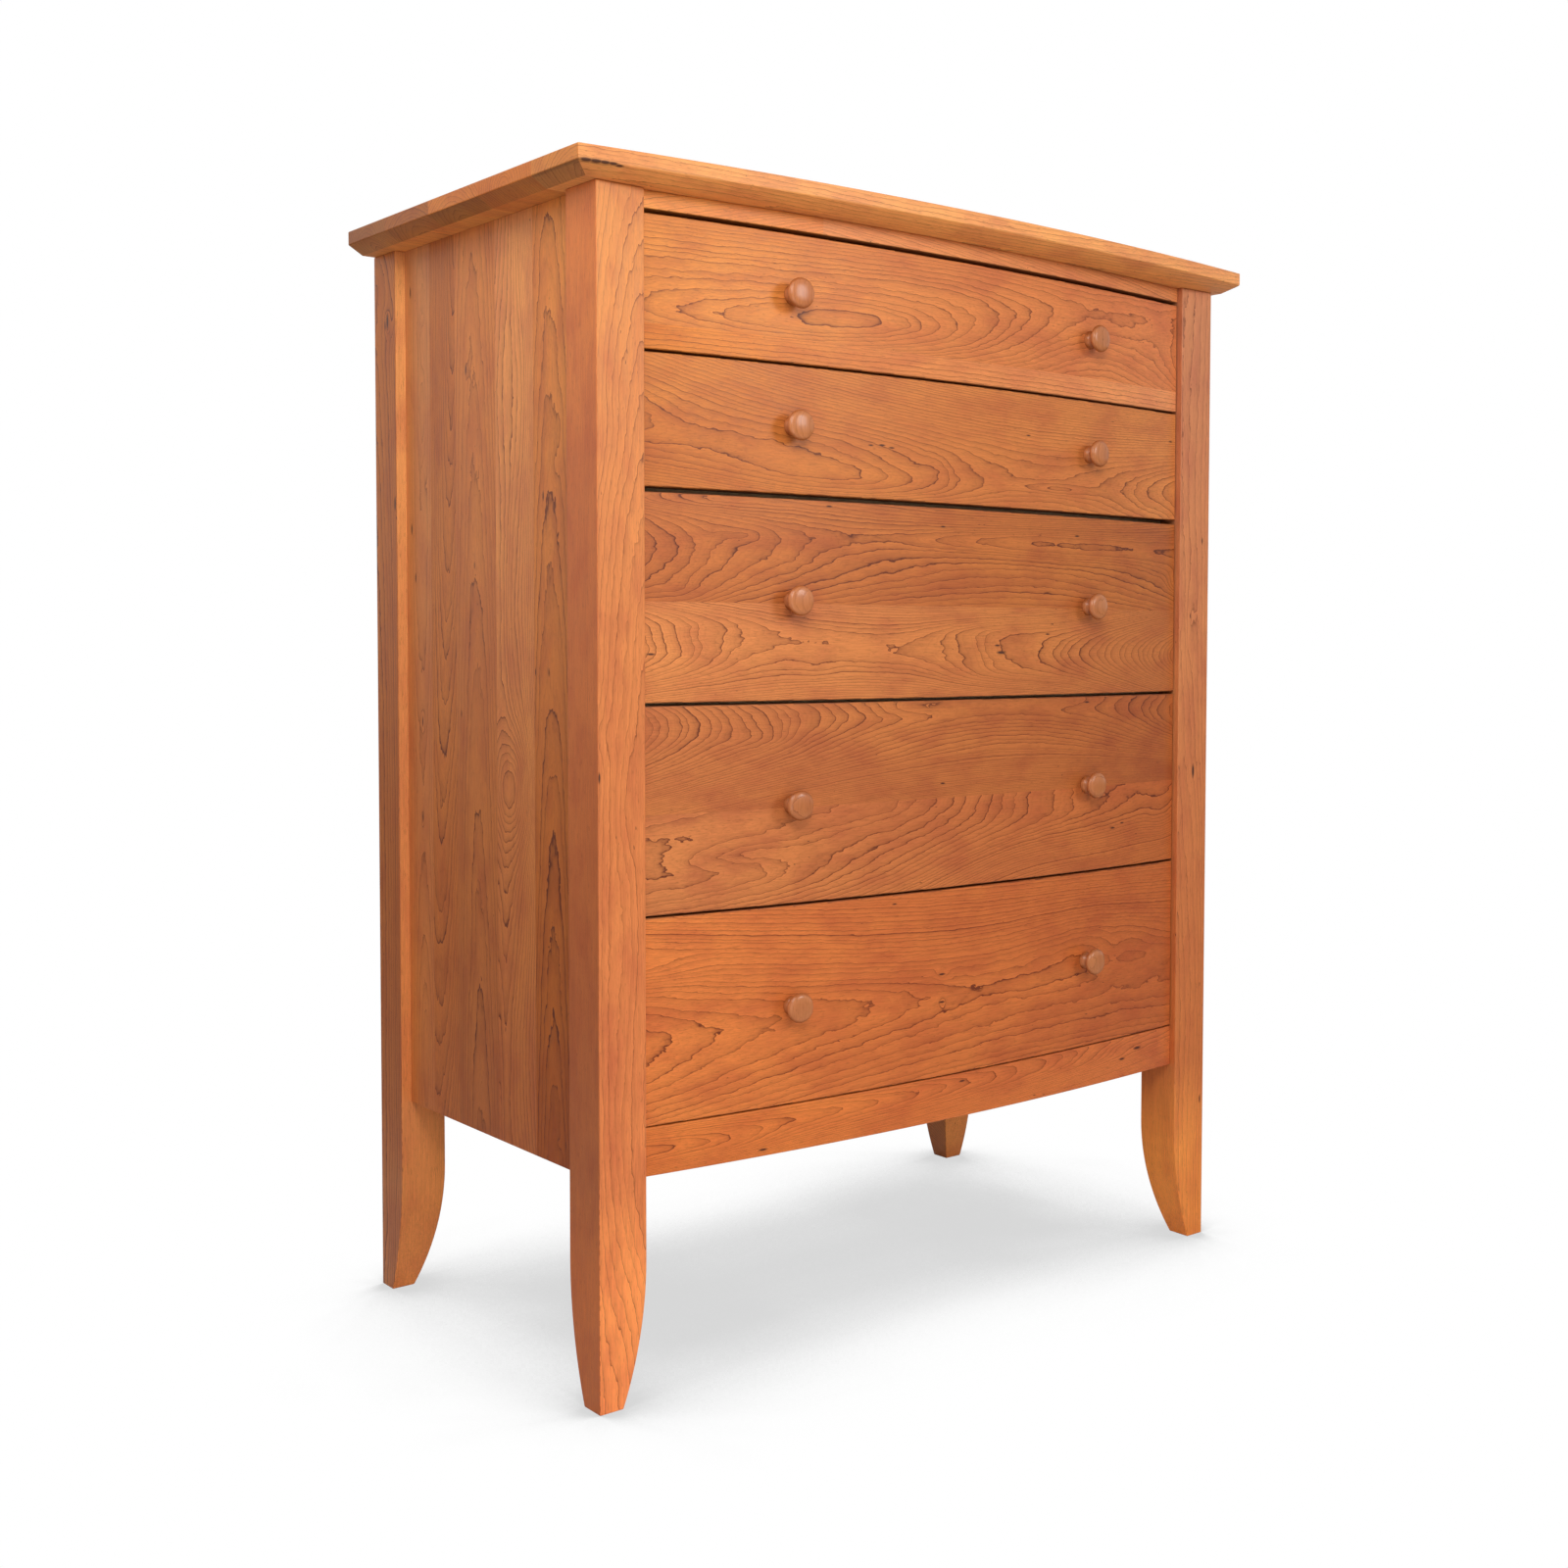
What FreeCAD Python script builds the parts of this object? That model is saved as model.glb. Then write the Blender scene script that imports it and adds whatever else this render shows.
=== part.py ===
import FreeCAD, Part
import math
import os
import Sketcher

# A bow front chest of drawers in solid cherry. Millimetres, +Z up. The origin is on the floor, in the
# middle of the chest's outline in plan. The drawer fronts face -Y, and +X is to the viewer's right.

# Driving dimensions. Every other length in the model is worked out from these.
SIZES = {
    # Carcass, from outer face to outer face of the corner posts.
    "case_width": 889,
    "case_depth": 489,
    # The front from the floor up: clear height under the apron, then rails, drawers and their gaps.
    "leg_clearance": 224,
    "apron_height": 49,
    "gap_over_apron": 1.2,
    "large_drawer_height": 207.7,
    "gap_over_drawer_5": 2.2,
    "gap_over_drawer_4": 3,
    "gap_over_drawer_3": 5,
    "small_drawer_height": 131.2,
    "gap_over_drawer_2": 2.4,
    "gap_over_drawer_1": 4,
    "top_rail_height": 17.7,
    # Top: the bevel is cut on the underside of the front and both ends.
    "top_thickness": 25,
    "top_bevel_height": 10,
    "top_bevel_run": 17,
    "top_overhang_side": 31,
    "top_overhang_front": 20,
    "top_bow": 33,
    # Corner posts. Below leg_curve_height both inner faces curve in by leg_taper at the floor.
    "post_width": 54,
    "front_post_depth": 57,
    "rear_post_depth": 54,
    "leg_curve_height": 145,
    "leg_taper": 27,
    "eased_edge": 1.2,
    # Side panels, held by a tongue in a groove of each post.
    "side_panel_thickness": 20,
    "side_panel_setback": 12,
    "tongue_thickness": 8,
    "groove_depth": 9,
    # Bowed front: how far it bulges, and how far its ends sit behind the posts' front faces.
    "front_bow": 24,
    "front_setback": 8,
    "front_thickness": 24,
    "front_side_gap": 1.5,
    "stop_clearance": 0.5,
    "landing_width": 24,
    # Rails and dividers, tenoned into the posts, and the runners behind them.
    "divider_thickness": 18,
    "tenon_length": 20,
    "tenon_width": 14,
    "tenon_thickness": 8,
    "apron_tenon_height": 30,
    "runner_width": 45,
    # Back: two rails and a panel in their grooves.
    "back_setback": 4,
    "back_rail_height": 60,
    "back_rail_thickness": 20,
    "back_tenon_height": 40,
    "back_panel_thickness": 10,
    # Drawer boxes behind the fronts.
    "box_rise": 8,
    "box_drop": 14,
    "box_rear_gap": 8,
    "box_side_thickness": 14,
    "box_back_thickness": 12,
    "box_bottom_thickness": 8,
    "box_bottom_height": 10,
    "box_groove_depth": 6,
    "running_clearance": 0.3,
    "kicker_clearance": 5,
    # Dovetails: tails on the drawer sides, the pins between them on the front and the back.
    "front_tail_length": 14,
    "tail_flare": 2.2,
    "pin_width": 12,
    "small_drawer_tails": 3,
    "large_drawer_tails": 5,
    # Turned knobs. Each sits a little above or below the middle of its front.
    "knob_spacing": 436,
    "small_knob_rise": 3.5,
    "large_knob_rise": -0.8,
    "knob_length": 21,
    "knob_head_diameter": 31,
    "knob_head_thickness": 8.5,
    "knob_dome": 1.8,
    "knob_rim_bulge": 2.8,
    "knob_neck_diameter": 15.5,
    "knob_neck_place": 8.5,
    "knob_base_diameter": 21,
    "knob_base_thickness": 4,
    "knob_cove": 0.8,
    "knob_hole_depth": 13,
    # Screws of the knobs and of the top.
    "screw_diameter": 4,
    "screw_head_diameter": 9,
    "screw_head_thickness": 2.5,
    "top_screw_depth": 15,
    "top_screw_inset": 50,
}
DRAWERS = {1: "small", 2: "small", 3: "large", 4: "large", 5: "large"}
SIDES = {"left": -1, "right": 1}

doc = FreeCAD.newDocument("bow_front_chest")
sheet = doc.addObject("Spreadsheet::Sheet", "Sizes")
for row, (alias, size) in enumerate(SIZES.items(), 1):
    sheet.set(f"A{row}", str(size))
    sheet.setAlias(f"A{row}", alias)

# Derived places that several pieces share, each bound to the sheet by its expression.
layout = doc.addObject("App::VarSet", "Layout")


def derive(name, expression):
    """Keep a derived value in the layout and return how other expressions refer to it."""
    layout.addProperty("App::PropertyFloat", name)
    layout.setExpression(name, expression)
    return f"Layout.{name}"


HALF_WIDTH = derive("half_width", "Sizes.case_width / 2")
INNER_HALF = derive("inner_half", f"{HALF_WIDTH} - Sizes.post_width")
FRONT = derive("front", "(Sizes.top_overhang_front + Sizes.top_bow - Sizes.case_depth) / 2")
REAR = derive("rear", "(Sizes.top_overhang_front + Sizes.top_bow + Sizes.case_depth) / 2")
RAIL_BACK = derive("rail_back", f"{FRONT} + Sizes.front_post_depth")
REAR_POST_FRONT = derive("rear_post_front", f"{REAR} - Sizes.rear_post_depth")
BACK_RAIL_FRONT = derive("back_rail_front", f"{REAR} - Sizes.back_setback - Sizes.back_rail_thickness")

# Heights, from the floor up.
DRAWER_Z = {5: derive("drawer_5_z", "Sizes.leg_clearance + Sizes.apron_height + Sizes.gap_over_apron")}
for number in (4, 3, 2, 1):
    below = f"{DRAWER_Z[number + 1]} + Sizes.{DRAWERS[number + 1]}_drawer_height"
    DRAWER_Z[number] = derive(f"drawer_{number}_z", f"{below} + Sizes.gap_over_drawer_{number + 1}")
TOP_RAIL_Z = derive("top_rail_z", f"{DRAWER_Z[1]} + Sizes.small_drawer_height + Sizes.gap_over_drawer_1")
TOP_Z = derive("top_z", f"{TOP_RAIL_Z} + Sizes.top_rail_height")

# The bowed show face is one upright cylinder, shared by the top rail, the drawer fronts and the apron.
SHOW_RADIUS = derive("show_radius", f"({INNER_HALF} ^ 2 + Sizes.front_bow ^ 2) / (2 * Sizes.front_bow)")
SHOW_CENTRE = derive("show_centre", f"{FRONT} + Sizes.front_setback - Sizes.front_bow + {SHOW_RADIUS}")
STOP_RADIUS = derive("stop_radius", f"{SHOW_RADIUS} - Sizes.front_thickness - Sizes.stop_clearance")
TENON_Y = derive("tenon_y", f"({SHOW_CENTRE} - sqrt({STOP_RADIUS} ^ 2 - {INNER_HALF} ^ 2) + {RAIL_BACK}) / 2")

# Drawer boxes, in plan.
BOX_HALF = derive("box_half", f"{INNER_HALF} - Sizes.front_side_gap")
BOX_INSIDE = derive("box_inside", f"{BOX_HALF} - Sizes.box_side_thickness")
BACK_RADIUS = derive("back_radius", f"{SHOW_RADIUS} - Sizes.front_thickness")
LANDING_HALF = derive("landing_half", f"{BOX_HALF} - Sizes.landing_width")
BOX_FRONT = derive("box_front", f"{SHOW_CENTRE} - sqrt({BACK_RADIUS} ^ 2 - {LANDING_HALF} ^ 2)")
BOX_REAR = derive("box_rear", f"{BACK_RAIL_FRONT} - Sizes.box_rear_gap")
BOX_BACK_FRONT = derive("box_back_front", f"{BOX_REAR} - Sizes.box_back_thickness")
# Heights within a drawer, from the lower edge of its front.
BOTTOM_Z = derive("bottom_z", "Sizes.box_rise + Sizes.box_bottom_height")
BOX_BACK_Z = derive("box_back_z", f"{BOTTOM_Z} + Sizes.box_bottom_thickness")
BOX_TOP_Z = {
    "small": derive("small_box_top_z", "Sizes.small_drawer_height - Sizes.box_drop"),
    "large": derive("large_box_top_z", "Sizes.large_drawer_height - Sizes.box_drop"),
}
# Heights of the knobs within a drawer, from the lower edge of its front.
KNOB_Z = {
    "small": derive("small_knob_z", "Sizes.small_drawer_height / 2 + Sizes.small_knob_rise"),
    "large": derive("large_knob_z", "Sizes.large_drawer_height / 2 + Sizes.large_knob_rise"),
}
KNOB_ANGLE = "asin(Sizes.knob_spacing / 2 / Layout.show_radius)"
doc.recompute()

nodes = []


def value(expression):
    """The number that an expression has now."""
    result = sheet.evalExpression(expression)
    return float(getattr(result, "Value", result))


def bowed(radius, x):
    """Where an upright cylinder about the show face's axis lies at x."""
    return f"{SHOW_CENTRE} - sqrt(({radius}) ^ 2 - ({x}) ^ 2)"


def bulge_radius(start, end, bulge):
    """The radius of an arc from start to end whose middle stands off its chord by bulge."""
    chord = f"((({start[0]}) - ({end[0]})) ^ 2 + (({start[1]}) - ({end[1]})) ^ 2)"
    return f"{chord} / (8 * ({bulge})) + ({bulge}) / 2"


def arc_between(start, end, radius, side):
    """The short arc from start to end, with its centre to the left (1) or right (-1) of the way there."""
    chord = end - start
    towards = FreeCAD.Vector(-chord.y, chord.x, 0).normalize() * side
    centre = (start + end) / 2 + towards * math.sqrt(radius ** 2 - chord.Length ** 2 / 4)
    crown = centre - towards * radius
    return Part.ArcOfCircle(start, crown, end) if side > 0 else Part.ArcOfCircle(end, crown, start)


def rectangle(left, right, low, high):
    return [(left, low), (right, low), (right, high), (left, high)]


PLANES = {"XY": ("XY_Plane", 1), "XZ": ("XZ_Plane", -1), "YZ": ("YZ_Plane", 1)}


def add_sketch(body, name, plane, place, outlines=(), circles=()):
    """A sketch parallel to an origin plane of the body, at place on the axis across that plane.

    An outline is a closed list of corners (u, v). A corner (u, v, radius, side) starts an arc instead of a
    line. A circle is (u, v, radius). All are expressions, and every one becomes a named constraint.
    """
    role, sense = PLANES[plane]
    sketch = body.newObject("Sketcher::SketchObject", f"{body.Name}_{name}")
    origin_plane = next(feature for feature in body.Origin.OriginFeatures if feature.Role == role)
    sketch.AttachmentSupport = (origin_plane, [""])
    sketch.MapMode = "FlatFace"
    sketch.setExpression("AttachmentOffset.Base.z", f"{sense} * ({place})")
    geometry = []
    constraints = []
    bindings = []

    def bind(kind, elements, label, expression):
        constraint = Sketcher.Constraint(kind, *elements, value(expression))
        constraint.Name = label
        constraints.append(constraint)
        bindings.append((label, expression))

    for outline in outlines:
        ends = []
        for index, corner in enumerate(outline):
            edge = len(geometry)
            following = outline[(index + 1) % len(outline)]
            start = FreeCAD.Vector(value(corner[0]), value(corner[1]))
            end = FreeCAD.Vector(value(following[0]), value(following[1]))
            if len(corner) == 4:
                geometry.append(arc_between(start, end, value(corner[2]), corner[3]))
                bind("Radius", (edge,), f"radius_{edge}", corner[2])
                ends.append((edge, 1, 2) if corner[3] > 0 else (edge, 2, 1))
            else:
                geometry.append(Part.LineSegment(start, end))
                ends.append((edge, 1, 2))
            bind("DistanceX", (-1, 1, edge, ends[-1][1]), f"u_{edge}", corner[0])
            bind("DistanceY", (-1, 1, edge, ends[-1][1]), f"v_{edge}", corner[1])
        for (edge, _, last), (next_edge, first, _) in zip(ends, ends[1:] + ends[:1]):
            constraints.append(Sketcher.Constraint("Coincident", edge, last, next_edge, first))
    for u, v, radius in circles:
        edge = len(geometry)
        centre = FreeCAD.Vector(value(u), value(v))
        geometry.append(Part.Circle(centre, FreeCAD.Vector(0, 0, 1), value(radius)))
        bind("Radius", (edge,), f"radius_{edge}", radius)
        bind("DistanceX", (-1, 1, edge, 3), f"u_{edge}", u)
        bind("DistanceY", (-1, 1, edge, 3), f"v_{edge}", v)
    sketch.addGeometry(geometry, False)
    sketch.addConstraint(constraints)
    for label, expression in bindings:
        sketch.setExpression(f"Constraints.{label}", expression)
    return sketch


def add_feature(kind, body, sketch, length, symmetric=False):
    """A Pad or Pocket of the sketch, along its normal or equally to both sides of it."""
    feature = body.newObject(f"PartDesign::{kind}", f"{sketch.Name}_{kind.lower()}")
    feature.Profile = sketch
    feature.SideType = "Symmetric" if symmetric else "One side"
    feature.setExpression("Length", length)
    return feature


def ease_edges(body, chosen):
    """Round over the edges of the body's last feature for which chosen(edge) is true."""
    doc.recompute()
    base = body.Tip
    names = [f"Edge{index}" for index, edge in enumerate(base.Shape.Edges, 1) if chosen(edge)]
    fillet = body.newObject("PartDesign::Fillet", f"{body.Name}_eased_edges")
    fillet.Base = (base, names)
    fillet.setExpression("Radius", "Sizes.eased_edge")


def add_body(name):
    body = doc.addObject("PartDesign::Body", name)
    body.Label = name
    return body


def add_node(obj, name):
    obj.Label = name
    nodes.append(obj)


def add_group(name, pieces):
    """Identical pieces that share one node, as a compound of separate solids."""
    group = doc.addObject("Part::Compound", name)
    group.Links = pieces
    add_node(group, name)


def near(a, b):
    return abs(a - b) < 0.001


# ---- Corner posts ----

LEG_RADIUS = "(Sizes.leg_curve_height ^ 2 + Sizes.leg_taper ^ 2) / (2 * Sizes.leg_taper)"
PANEL_MIDDLE = f"({HALF_WIDTH} - Sizes.side_panel_setback - Sizes.side_panel_thickness / 2)"


def tenon_heights(name):
    """The middle height of each small tenon in a front post."""
    dividers = [divider_z(number) + " + Sizes.divider_thickness / 2" for number in DRAWERS]
    return dividers + [f"({TOP_RAIL_Z} + {TOP_Z}) / 2"] if name == "front" else []


def divider_z(number):
    """The underside of the divider that carries a drawer."""
    return f"{DRAWER_Z[number]} + Sizes.box_rise - Sizes.running_clearance - Sizes.divider_thickness"


def small_tenon(height):
    """The section of a divider's or the top rail's tenon, in side view."""
    left = f"{TENON_Y} - Sizes.tenon_width / 2"
    right = f"{TENON_Y} + Sizes.tenon_width / 2"
    low = f"{height} - Sizes.tenon_thickness / 2"
    high = f"{height} + Sizes.tenon_thickness / 2"
    return rectangle(left, right, low, high)


def apron_tenon():
    middle = f"{FRONT} + Sizes.front_setback + Sizes.front_thickness / 2"
    left = f"{middle} - Sizes.tenon_thickness / 2"
    right = f"{middle} + Sizes.tenon_thickness / 2"
    centre = "Sizes.leg_clearance + Sizes.apron_height / 2"
    return rectangle(left, right, f"{centre} - Sizes.apron_tenon_height / 2",
                     f"{centre} + Sizes.apron_tenon_height / 2")


def back_tenon(rail_z):
    middle = f"{BACK_RAIL_FRONT} + Sizes.back_rail_thickness / 2"
    left = f"{middle} - Sizes.tenon_thickness / 2"
    right = f"{middle} + Sizes.tenon_thickness / 2"
    centre = f"{rail_z} + Sizes.back_rail_height / 2"
    return rectangle(left, right, f"{centre} - Sizes.back_tenon_height / 2",
                     f"{centre} + Sizes.back_tenon_height / 2")


BACK_RAIL_Z = {"top": f"{TOP_Z} - Sizes.back_rail_height", "bottom": "Sizes.leg_clearance"}
BACK_PANEL_LOW = "Sizes.leg_clearance + Sizes.back_rail_height - Sizes.groove_depth"
BACK_PANEL_HIGH = f"{TOP_Z} - Sizes.back_rail_height + Sizes.groove_depth"
BACK_PANEL_MIDDLE = f"({BACK_RAIL_FRONT} + Sizes.back_rail_thickness / 2)"


def add_post(end, name, side):
    """A corner post: square above, with a leg whose two inner faces curve in to a small foot."""
    body = add_body(f"post_{end}_{name}")
    depth = f"Sizes.{end}_post_depth"
    outer = f"{side} * {HALF_WIDTH}"
    inner = f"{side} * {INNER_HALF}"
    foot = f"{side} * ({INNER_HALF} + Sizes.leg_taper)"
    low = FRONT if end == "front" else REAR_POST_FRONT
    middle = f"{low} + {depth} / 2"
    face = [(outer, "0"), (outer, TOP_Z), (inner, TOP_Z), (inner, "Sizes.leg_curve_height", LEG_RADIUS, side),
            (foot, "0")]
    outline = add_sketch(body, "outline", "XZ", middle, [face])
    add_feature("Pad", body, outline, depth, symmetric=True)

    # The curve of the face that looks at the other post of the same side.
    facing, inward = (RAIL_BACK, -1) if end == "front" else (REAR_POST_FRONT, 1)
    waste = [(facing, "Sizes.leg_curve_height", LEG_RADIUS, inward),
             (f"{facing} + {inward} * Sizes.leg_taper", "0"), (facing, "0")]
    across = f"{side} * ({HALF_WIDTH} + {INNER_HALF}) / 2"
    curve = add_sketch(body, "curve", "YZ", across, [waste])
    add_feature("Pocket", body, curve, "2 * Sizes.post_width", symmetric=True)
    ease_edges(body, lambda edge: is_post_arris(edge, value(TOP_Z)))

    # Groove for the side panel's tongue.
    tongue = [f"{side} * {PANEL_MIDDLE} - Sizes.tongue_thickness / 2",
              f"{side} * {PANEL_MIDDLE} + Sizes.tongue_thickness / 2"]
    groove = add_sketch(body, "groove", "XZ", f"{facing} + {inward} * Sizes.groove_depth / 2",
                        [rectangle(*tongue, "Sizes.leg_clearance", TOP_Z)])
    add_feature("Pocket", body, groove, "Sizes.groove_depth", symmetric=True)

    # Mortises in the face that looks across the chest.
    if end == "front":
        mortises = [small_tenon(height) for height in tenon_heights("front")] + [apron_tenon()]
    else:
        mortises = [back_tenon(rail_z) for rail_z in BACK_RAIL_Z.values()]
    holes = add_sketch(body, "mortises", "YZ", f"{side} * ({INNER_HALF} + Sizes.tenon_length / 2)", mortises)
    add_feature("Pocket", body, holes, "Sizes.tenon_length", symmetric=True)
    if end == "rear":
        slot = rectangle(f"{BACK_PANEL_MIDDLE} - Sizes.back_panel_thickness / 2",
                         f"{BACK_PANEL_MIDDLE} + Sizes.back_panel_thickness / 2",
                         BACK_PANEL_LOW, BACK_PANEL_HIGH)
        back_groove = add_sketch(body, "back_groove", "YZ",
                                 f"{side} * ({INNER_HALF} + Sizes.groove_depth / 2)", [slot])
        add_feature("Pocket", body, back_groove, "Sizes.groove_depth", symmetric=True)
    add_node(body, body.Name)


def is_post_arris(edge, top):
    """The four long edges of a post, which run down from its top and on along the leg's curves."""
    box = edge.BoundBox
    return near(box.ZMax, top) and near(box.XLength, 0) and near(box.YLength, 0)


for end in ("front", "rear"):
    for name, side in SIDES.items():
        add_post(end, name, side)


# ---- Side panels ----

def add_side_panel(name, side):
    body = add_body(f"side_panel_{name}")
    outer = f"{side} * ({HALF_WIDTH} - Sizes.side_panel_setback)"
    inner = f"{side} * ({HALF_WIDTH} - Sizes.side_panel_setback - Sizes.side_panel_thickness)"
    tongue_outer = f"{side} * ({PANEL_MIDDLE} + Sizes.tongue_thickness / 2)"
    tongue_inner = f"{side} * ({PANEL_MIDDLE} - Sizes.tongue_thickness / 2)"
    front_end = f"{RAIL_BACK} - Sizes.groove_depth"
    rear_end = f"{REAR_POST_FRONT} + Sizes.groove_depth"
    plan = [(outer, RAIL_BACK), (tongue_outer, RAIL_BACK), (tongue_outer, front_end),
            (tongue_inner, front_end), (tongue_inner, RAIL_BACK), (inner, RAIL_BACK),
            (inner, REAR_POST_FRONT), (tongue_inner, REAR_POST_FRONT), (tongue_inner, rear_end),
            (tongue_outer, rear_end), (tongue_outer, REAR_POST_FRONT), (outer, REAR_POST_FRONT)]
    outline = add_sketch(body, "plan", "XY", "Sizes.leg_clearance", [plan])
    add_feature("Pad", body, outline, f"{TOP_Z} - Sizes.leg_clearance")
    add_node(body, body.Name)


for name, side in SIDES.items():
    add_side_panel(name, side)


# ---- Rails ----

def add_tenons(body, section):
    """A tenon with the given side-view section on each end of a rail."""
    for name, side in SIDES.items():
        middle = f"{side} * ({INNER_HALF} + Sizes.tenon_length / 2)"
        sketch = add_sketch(body, f"tenon_{name}", "YZ", middle, [section])
        add_feature("Pad", body, sketch, "Sizes.tenon_length", symmetric=True)


def add_flat_rail(name, radius, low, thickness, tenon_height):
    """A rail laid flat, with a bowed front edge and a straight back edge flush with the front posts."""
    body = add_body(name)
    plan = [(f"-{INNER_HALF}", bowed(radius, INNER_HALF), radius, 1), (INNER_HALF, bowed(radius, INNER_HALF)),
            (INNER_HALF, RAIL_BACK), (f"-{INNER_HALF}", RAIL_BACK)]
    outline = add_sketch(body, "plan", "XY", low, [plan])
    add_feature("Pad", body, outline, thickness)
    add_tenons(body, small_tenon(tenon_height))
    add_node(body, name)
    return body


add_flat_rail("top_rail", SHOW_RADIUS, TOP_RAIL_Z, "Sizes.top_rail_height", f"({TOP_RAIL_Z} + {TOP_Z}) / 2")
for number in DRAWERS:
    low = divider_z(number)
    middle = f"{low} + Sizes.divider_thickness / 2"
    add_flat_rail(f"divider_{number}", STOP_RADIUS, low, "Sizes.divider_thickness", middle)


def add_apron():
    """The upright bowed rail under the last drawer, glued in front of the last divider."""
    body = add_body("apron")
    left, right = f"-{INNER_HALF}", INNER_HALF
    plan = [(left, bowed(SHOW_RADIUS, INNER_HALF), SHOW_RADIUS, 1), (right, bowed(SHOW_RADIUS, INNER_HALF)),
            (right, bowed(STOP_RADIUS, INNER_HALF), STOP_RADIUS, -1), (left, bowed(STOP_RADIUS, INNER_HALF))]
    outline = add_sketch(body, "plan", "XY", "Sizes.leg_clearance", [plan])
    add_feature("Pad", body, outline, "Sizes.apron_height")
    add_tenons(body, apron_tenon())
    add_node(body, "apron")


add_apron()


# ---- Back ----

def add_back_rail(name, groove_low):
    """A back rail with tenons, and a groove along its inner edge for the panel."""
    body = add_body(f"back_{name}_rail")
    low = BACK_RAIL_Z[name]
    rail = rectangle(BACK_RAIL_FRONT, f"{BACK_RAIL_FRONT} + Sizes.back_rail_thickness",
                     low, f"{low} + Sizes.back_rail_height")
    outline = add_sketch(body, "section", "YZ", "0", [rail])
    add_feature("Pad", body, outline, f"2 * {INNER_HALF}", symmetric=True)
    slot = rectangle(f"{BACK_PANEL_MIDDLE} - Sizes.back_panel_thickness / 2",
                     f"{BACK_PANEL_MIDDLE} + Sizes.back_panel_thickness / 2",
                     groove_low, f"{groove_low} + Sizes.groove_depth")
    groove = add_sketch(body, "groove", "YZ", "0", [slot])
    add_feature("Pocket", body, groove, f"2 * {INNER_HALF}", symmetric=True)
    add_tenons(body, back_tenon(low))
    add_node(body, body.Name)


add_back_rail("top", BACK_RAIL_Z["top"])
add_back_rail("bottom", BACK_PANEL_LOW)


def add_back_panel():
    body = add_body("back_panel")
    reach = f"{INNER_HALF} + Sizes.groove_depth"
    face = rectangle(f"-({reach})", reach, BACK_PANEL_LOW, BACK_PANEL_HIGH)
    outline = add_sketch(body, "face", "XZ", BACK_PANEL_MIDDLE, [face])
    add_feature("Pad", body, outline, "Sizes.back_panel_thickness", symmetric=True)
    add_node(body, "back_panel")


add_back_panel()


# ---- Runners and kickers ----

def add_box(name, x, y, z, length, width, height):
    box = doc.addObject("Part::Box", name)
    for prop, expression in (("Placement.Base.x", x), ("Placement.Base.y", y), ("Placement.Base.z", z),
                             ("Length", length), ("Width", width), ("Height", height)):
        box.setExpression(prop, expression)
    return box


RUNNER_LENGTH = f"{BACK_RAIL_FRONT} - {RAIL_BACK}"
RUNNER_X = {"left": f"-{INNER_HALF}", "right": f"{INNER_HALF} - Sizes.runner_width"}


def add_runner(number, name):
    """A strip level with its divider, from the divider's back edge to the back rails' face."""
    return add_box(f"runner_{number}_{name}", RUNNER_X[name], RAIL_BACK, divider_z(number),
                   "Sizes.runner_width", RUNNER_LENGTH, "Sizes.divider_thickness")


add_group("drawer_runners", [add_runner(number, name) for number in DRAWERS for name in SIDES])

KICKER_Z = f"{DRAWER_Z[1]} + {BOX_TOP_Z['small']} + Sizes.kicker_clearance"
TOP_SCREW_Y = [f"{RAIL_BACK} + Sizes.top_screw_inset", f"({RAIL_BACK} + {BACK_RAIL_FRONT}) / 2",
               f"{BACK_RAIL_FRONT} - Sizes.top_screw_inset"]
TOP_SCREW_X = [f"{side} * ({INNER_HALF} - Sizes.runner_width / 2)" for side in SIDES.values()]


def add_cylinder(name, x, y, z, radius, height):
    cylinder = doc.addObject("Part::Cylinder", name)
    for prop, expression in (("Placement.Base.x", x), ("Placement.Base.y", y), ("Placement.Base.z", z),
                             ("Radius", radius), ("Height", height)):
        cylinder.setExpression(prop, expression)
    return cylinder


def add_top_screws():
    """Screws up through the kickers into the top. Returns the shanks, which also cut the kickers' holes."""
    shanks = []
    screws = []
    for column, x in enumerate(TOP_SCREW_X):
        for row, y in enumerate(TOP_SCREW_Y):
            tag = f"{column}_{row}"
            shank = add_cylinder(f"top_screw_shank_{tag}", x, y, KICKER_Z, "Sizes.screw_diameter / 2",
                                 f"{TOP_Z} - ({KICKER_Z}) + Sizes.top_screw_depth")
            head = add_cylinder(f"top_screw_head_{tag}", x, y, f"{KICKER_Z} - Sizes.screw_head_thickness",
                                "Sizes.screw_head_diameter / 2", "Sizes.screw_head_thickness")
            screw = doc.addObject("Part::Fuse", f"top_screw_{tag}")
            screw.Base = head
            screw.Tool = shank
            shanks.append(shank)
            screws.append(screw)
    add_group("top_screws", screws)
    return shanks


def add_kickers(shanks):
    strips = [add_box(f"kicker_blank_{name}", RUNNER_X[name], RAIL_BACK, KICKER_Z, "Sizes.runner_width",
                      RUNNER_LENGTH, f"{TOP_Z} - ({KICKER_Z})") for name in SIDES]
    blanks = doc.addObject("Part::Compound", "kicker_blanks")
    blanks.Links = strips
    drills = doc.addObject("Part::Compound", "kicker_drills")
    drills.Links = shanks
    kickers = doc.addObject("Part::Cut", "kickers")
    kickers.Base = blanks
    kickers.Tool = drills
    add_node(kickers, "kickers")


add_kickers(add_top_screws())


# ---- Top ----

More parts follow.
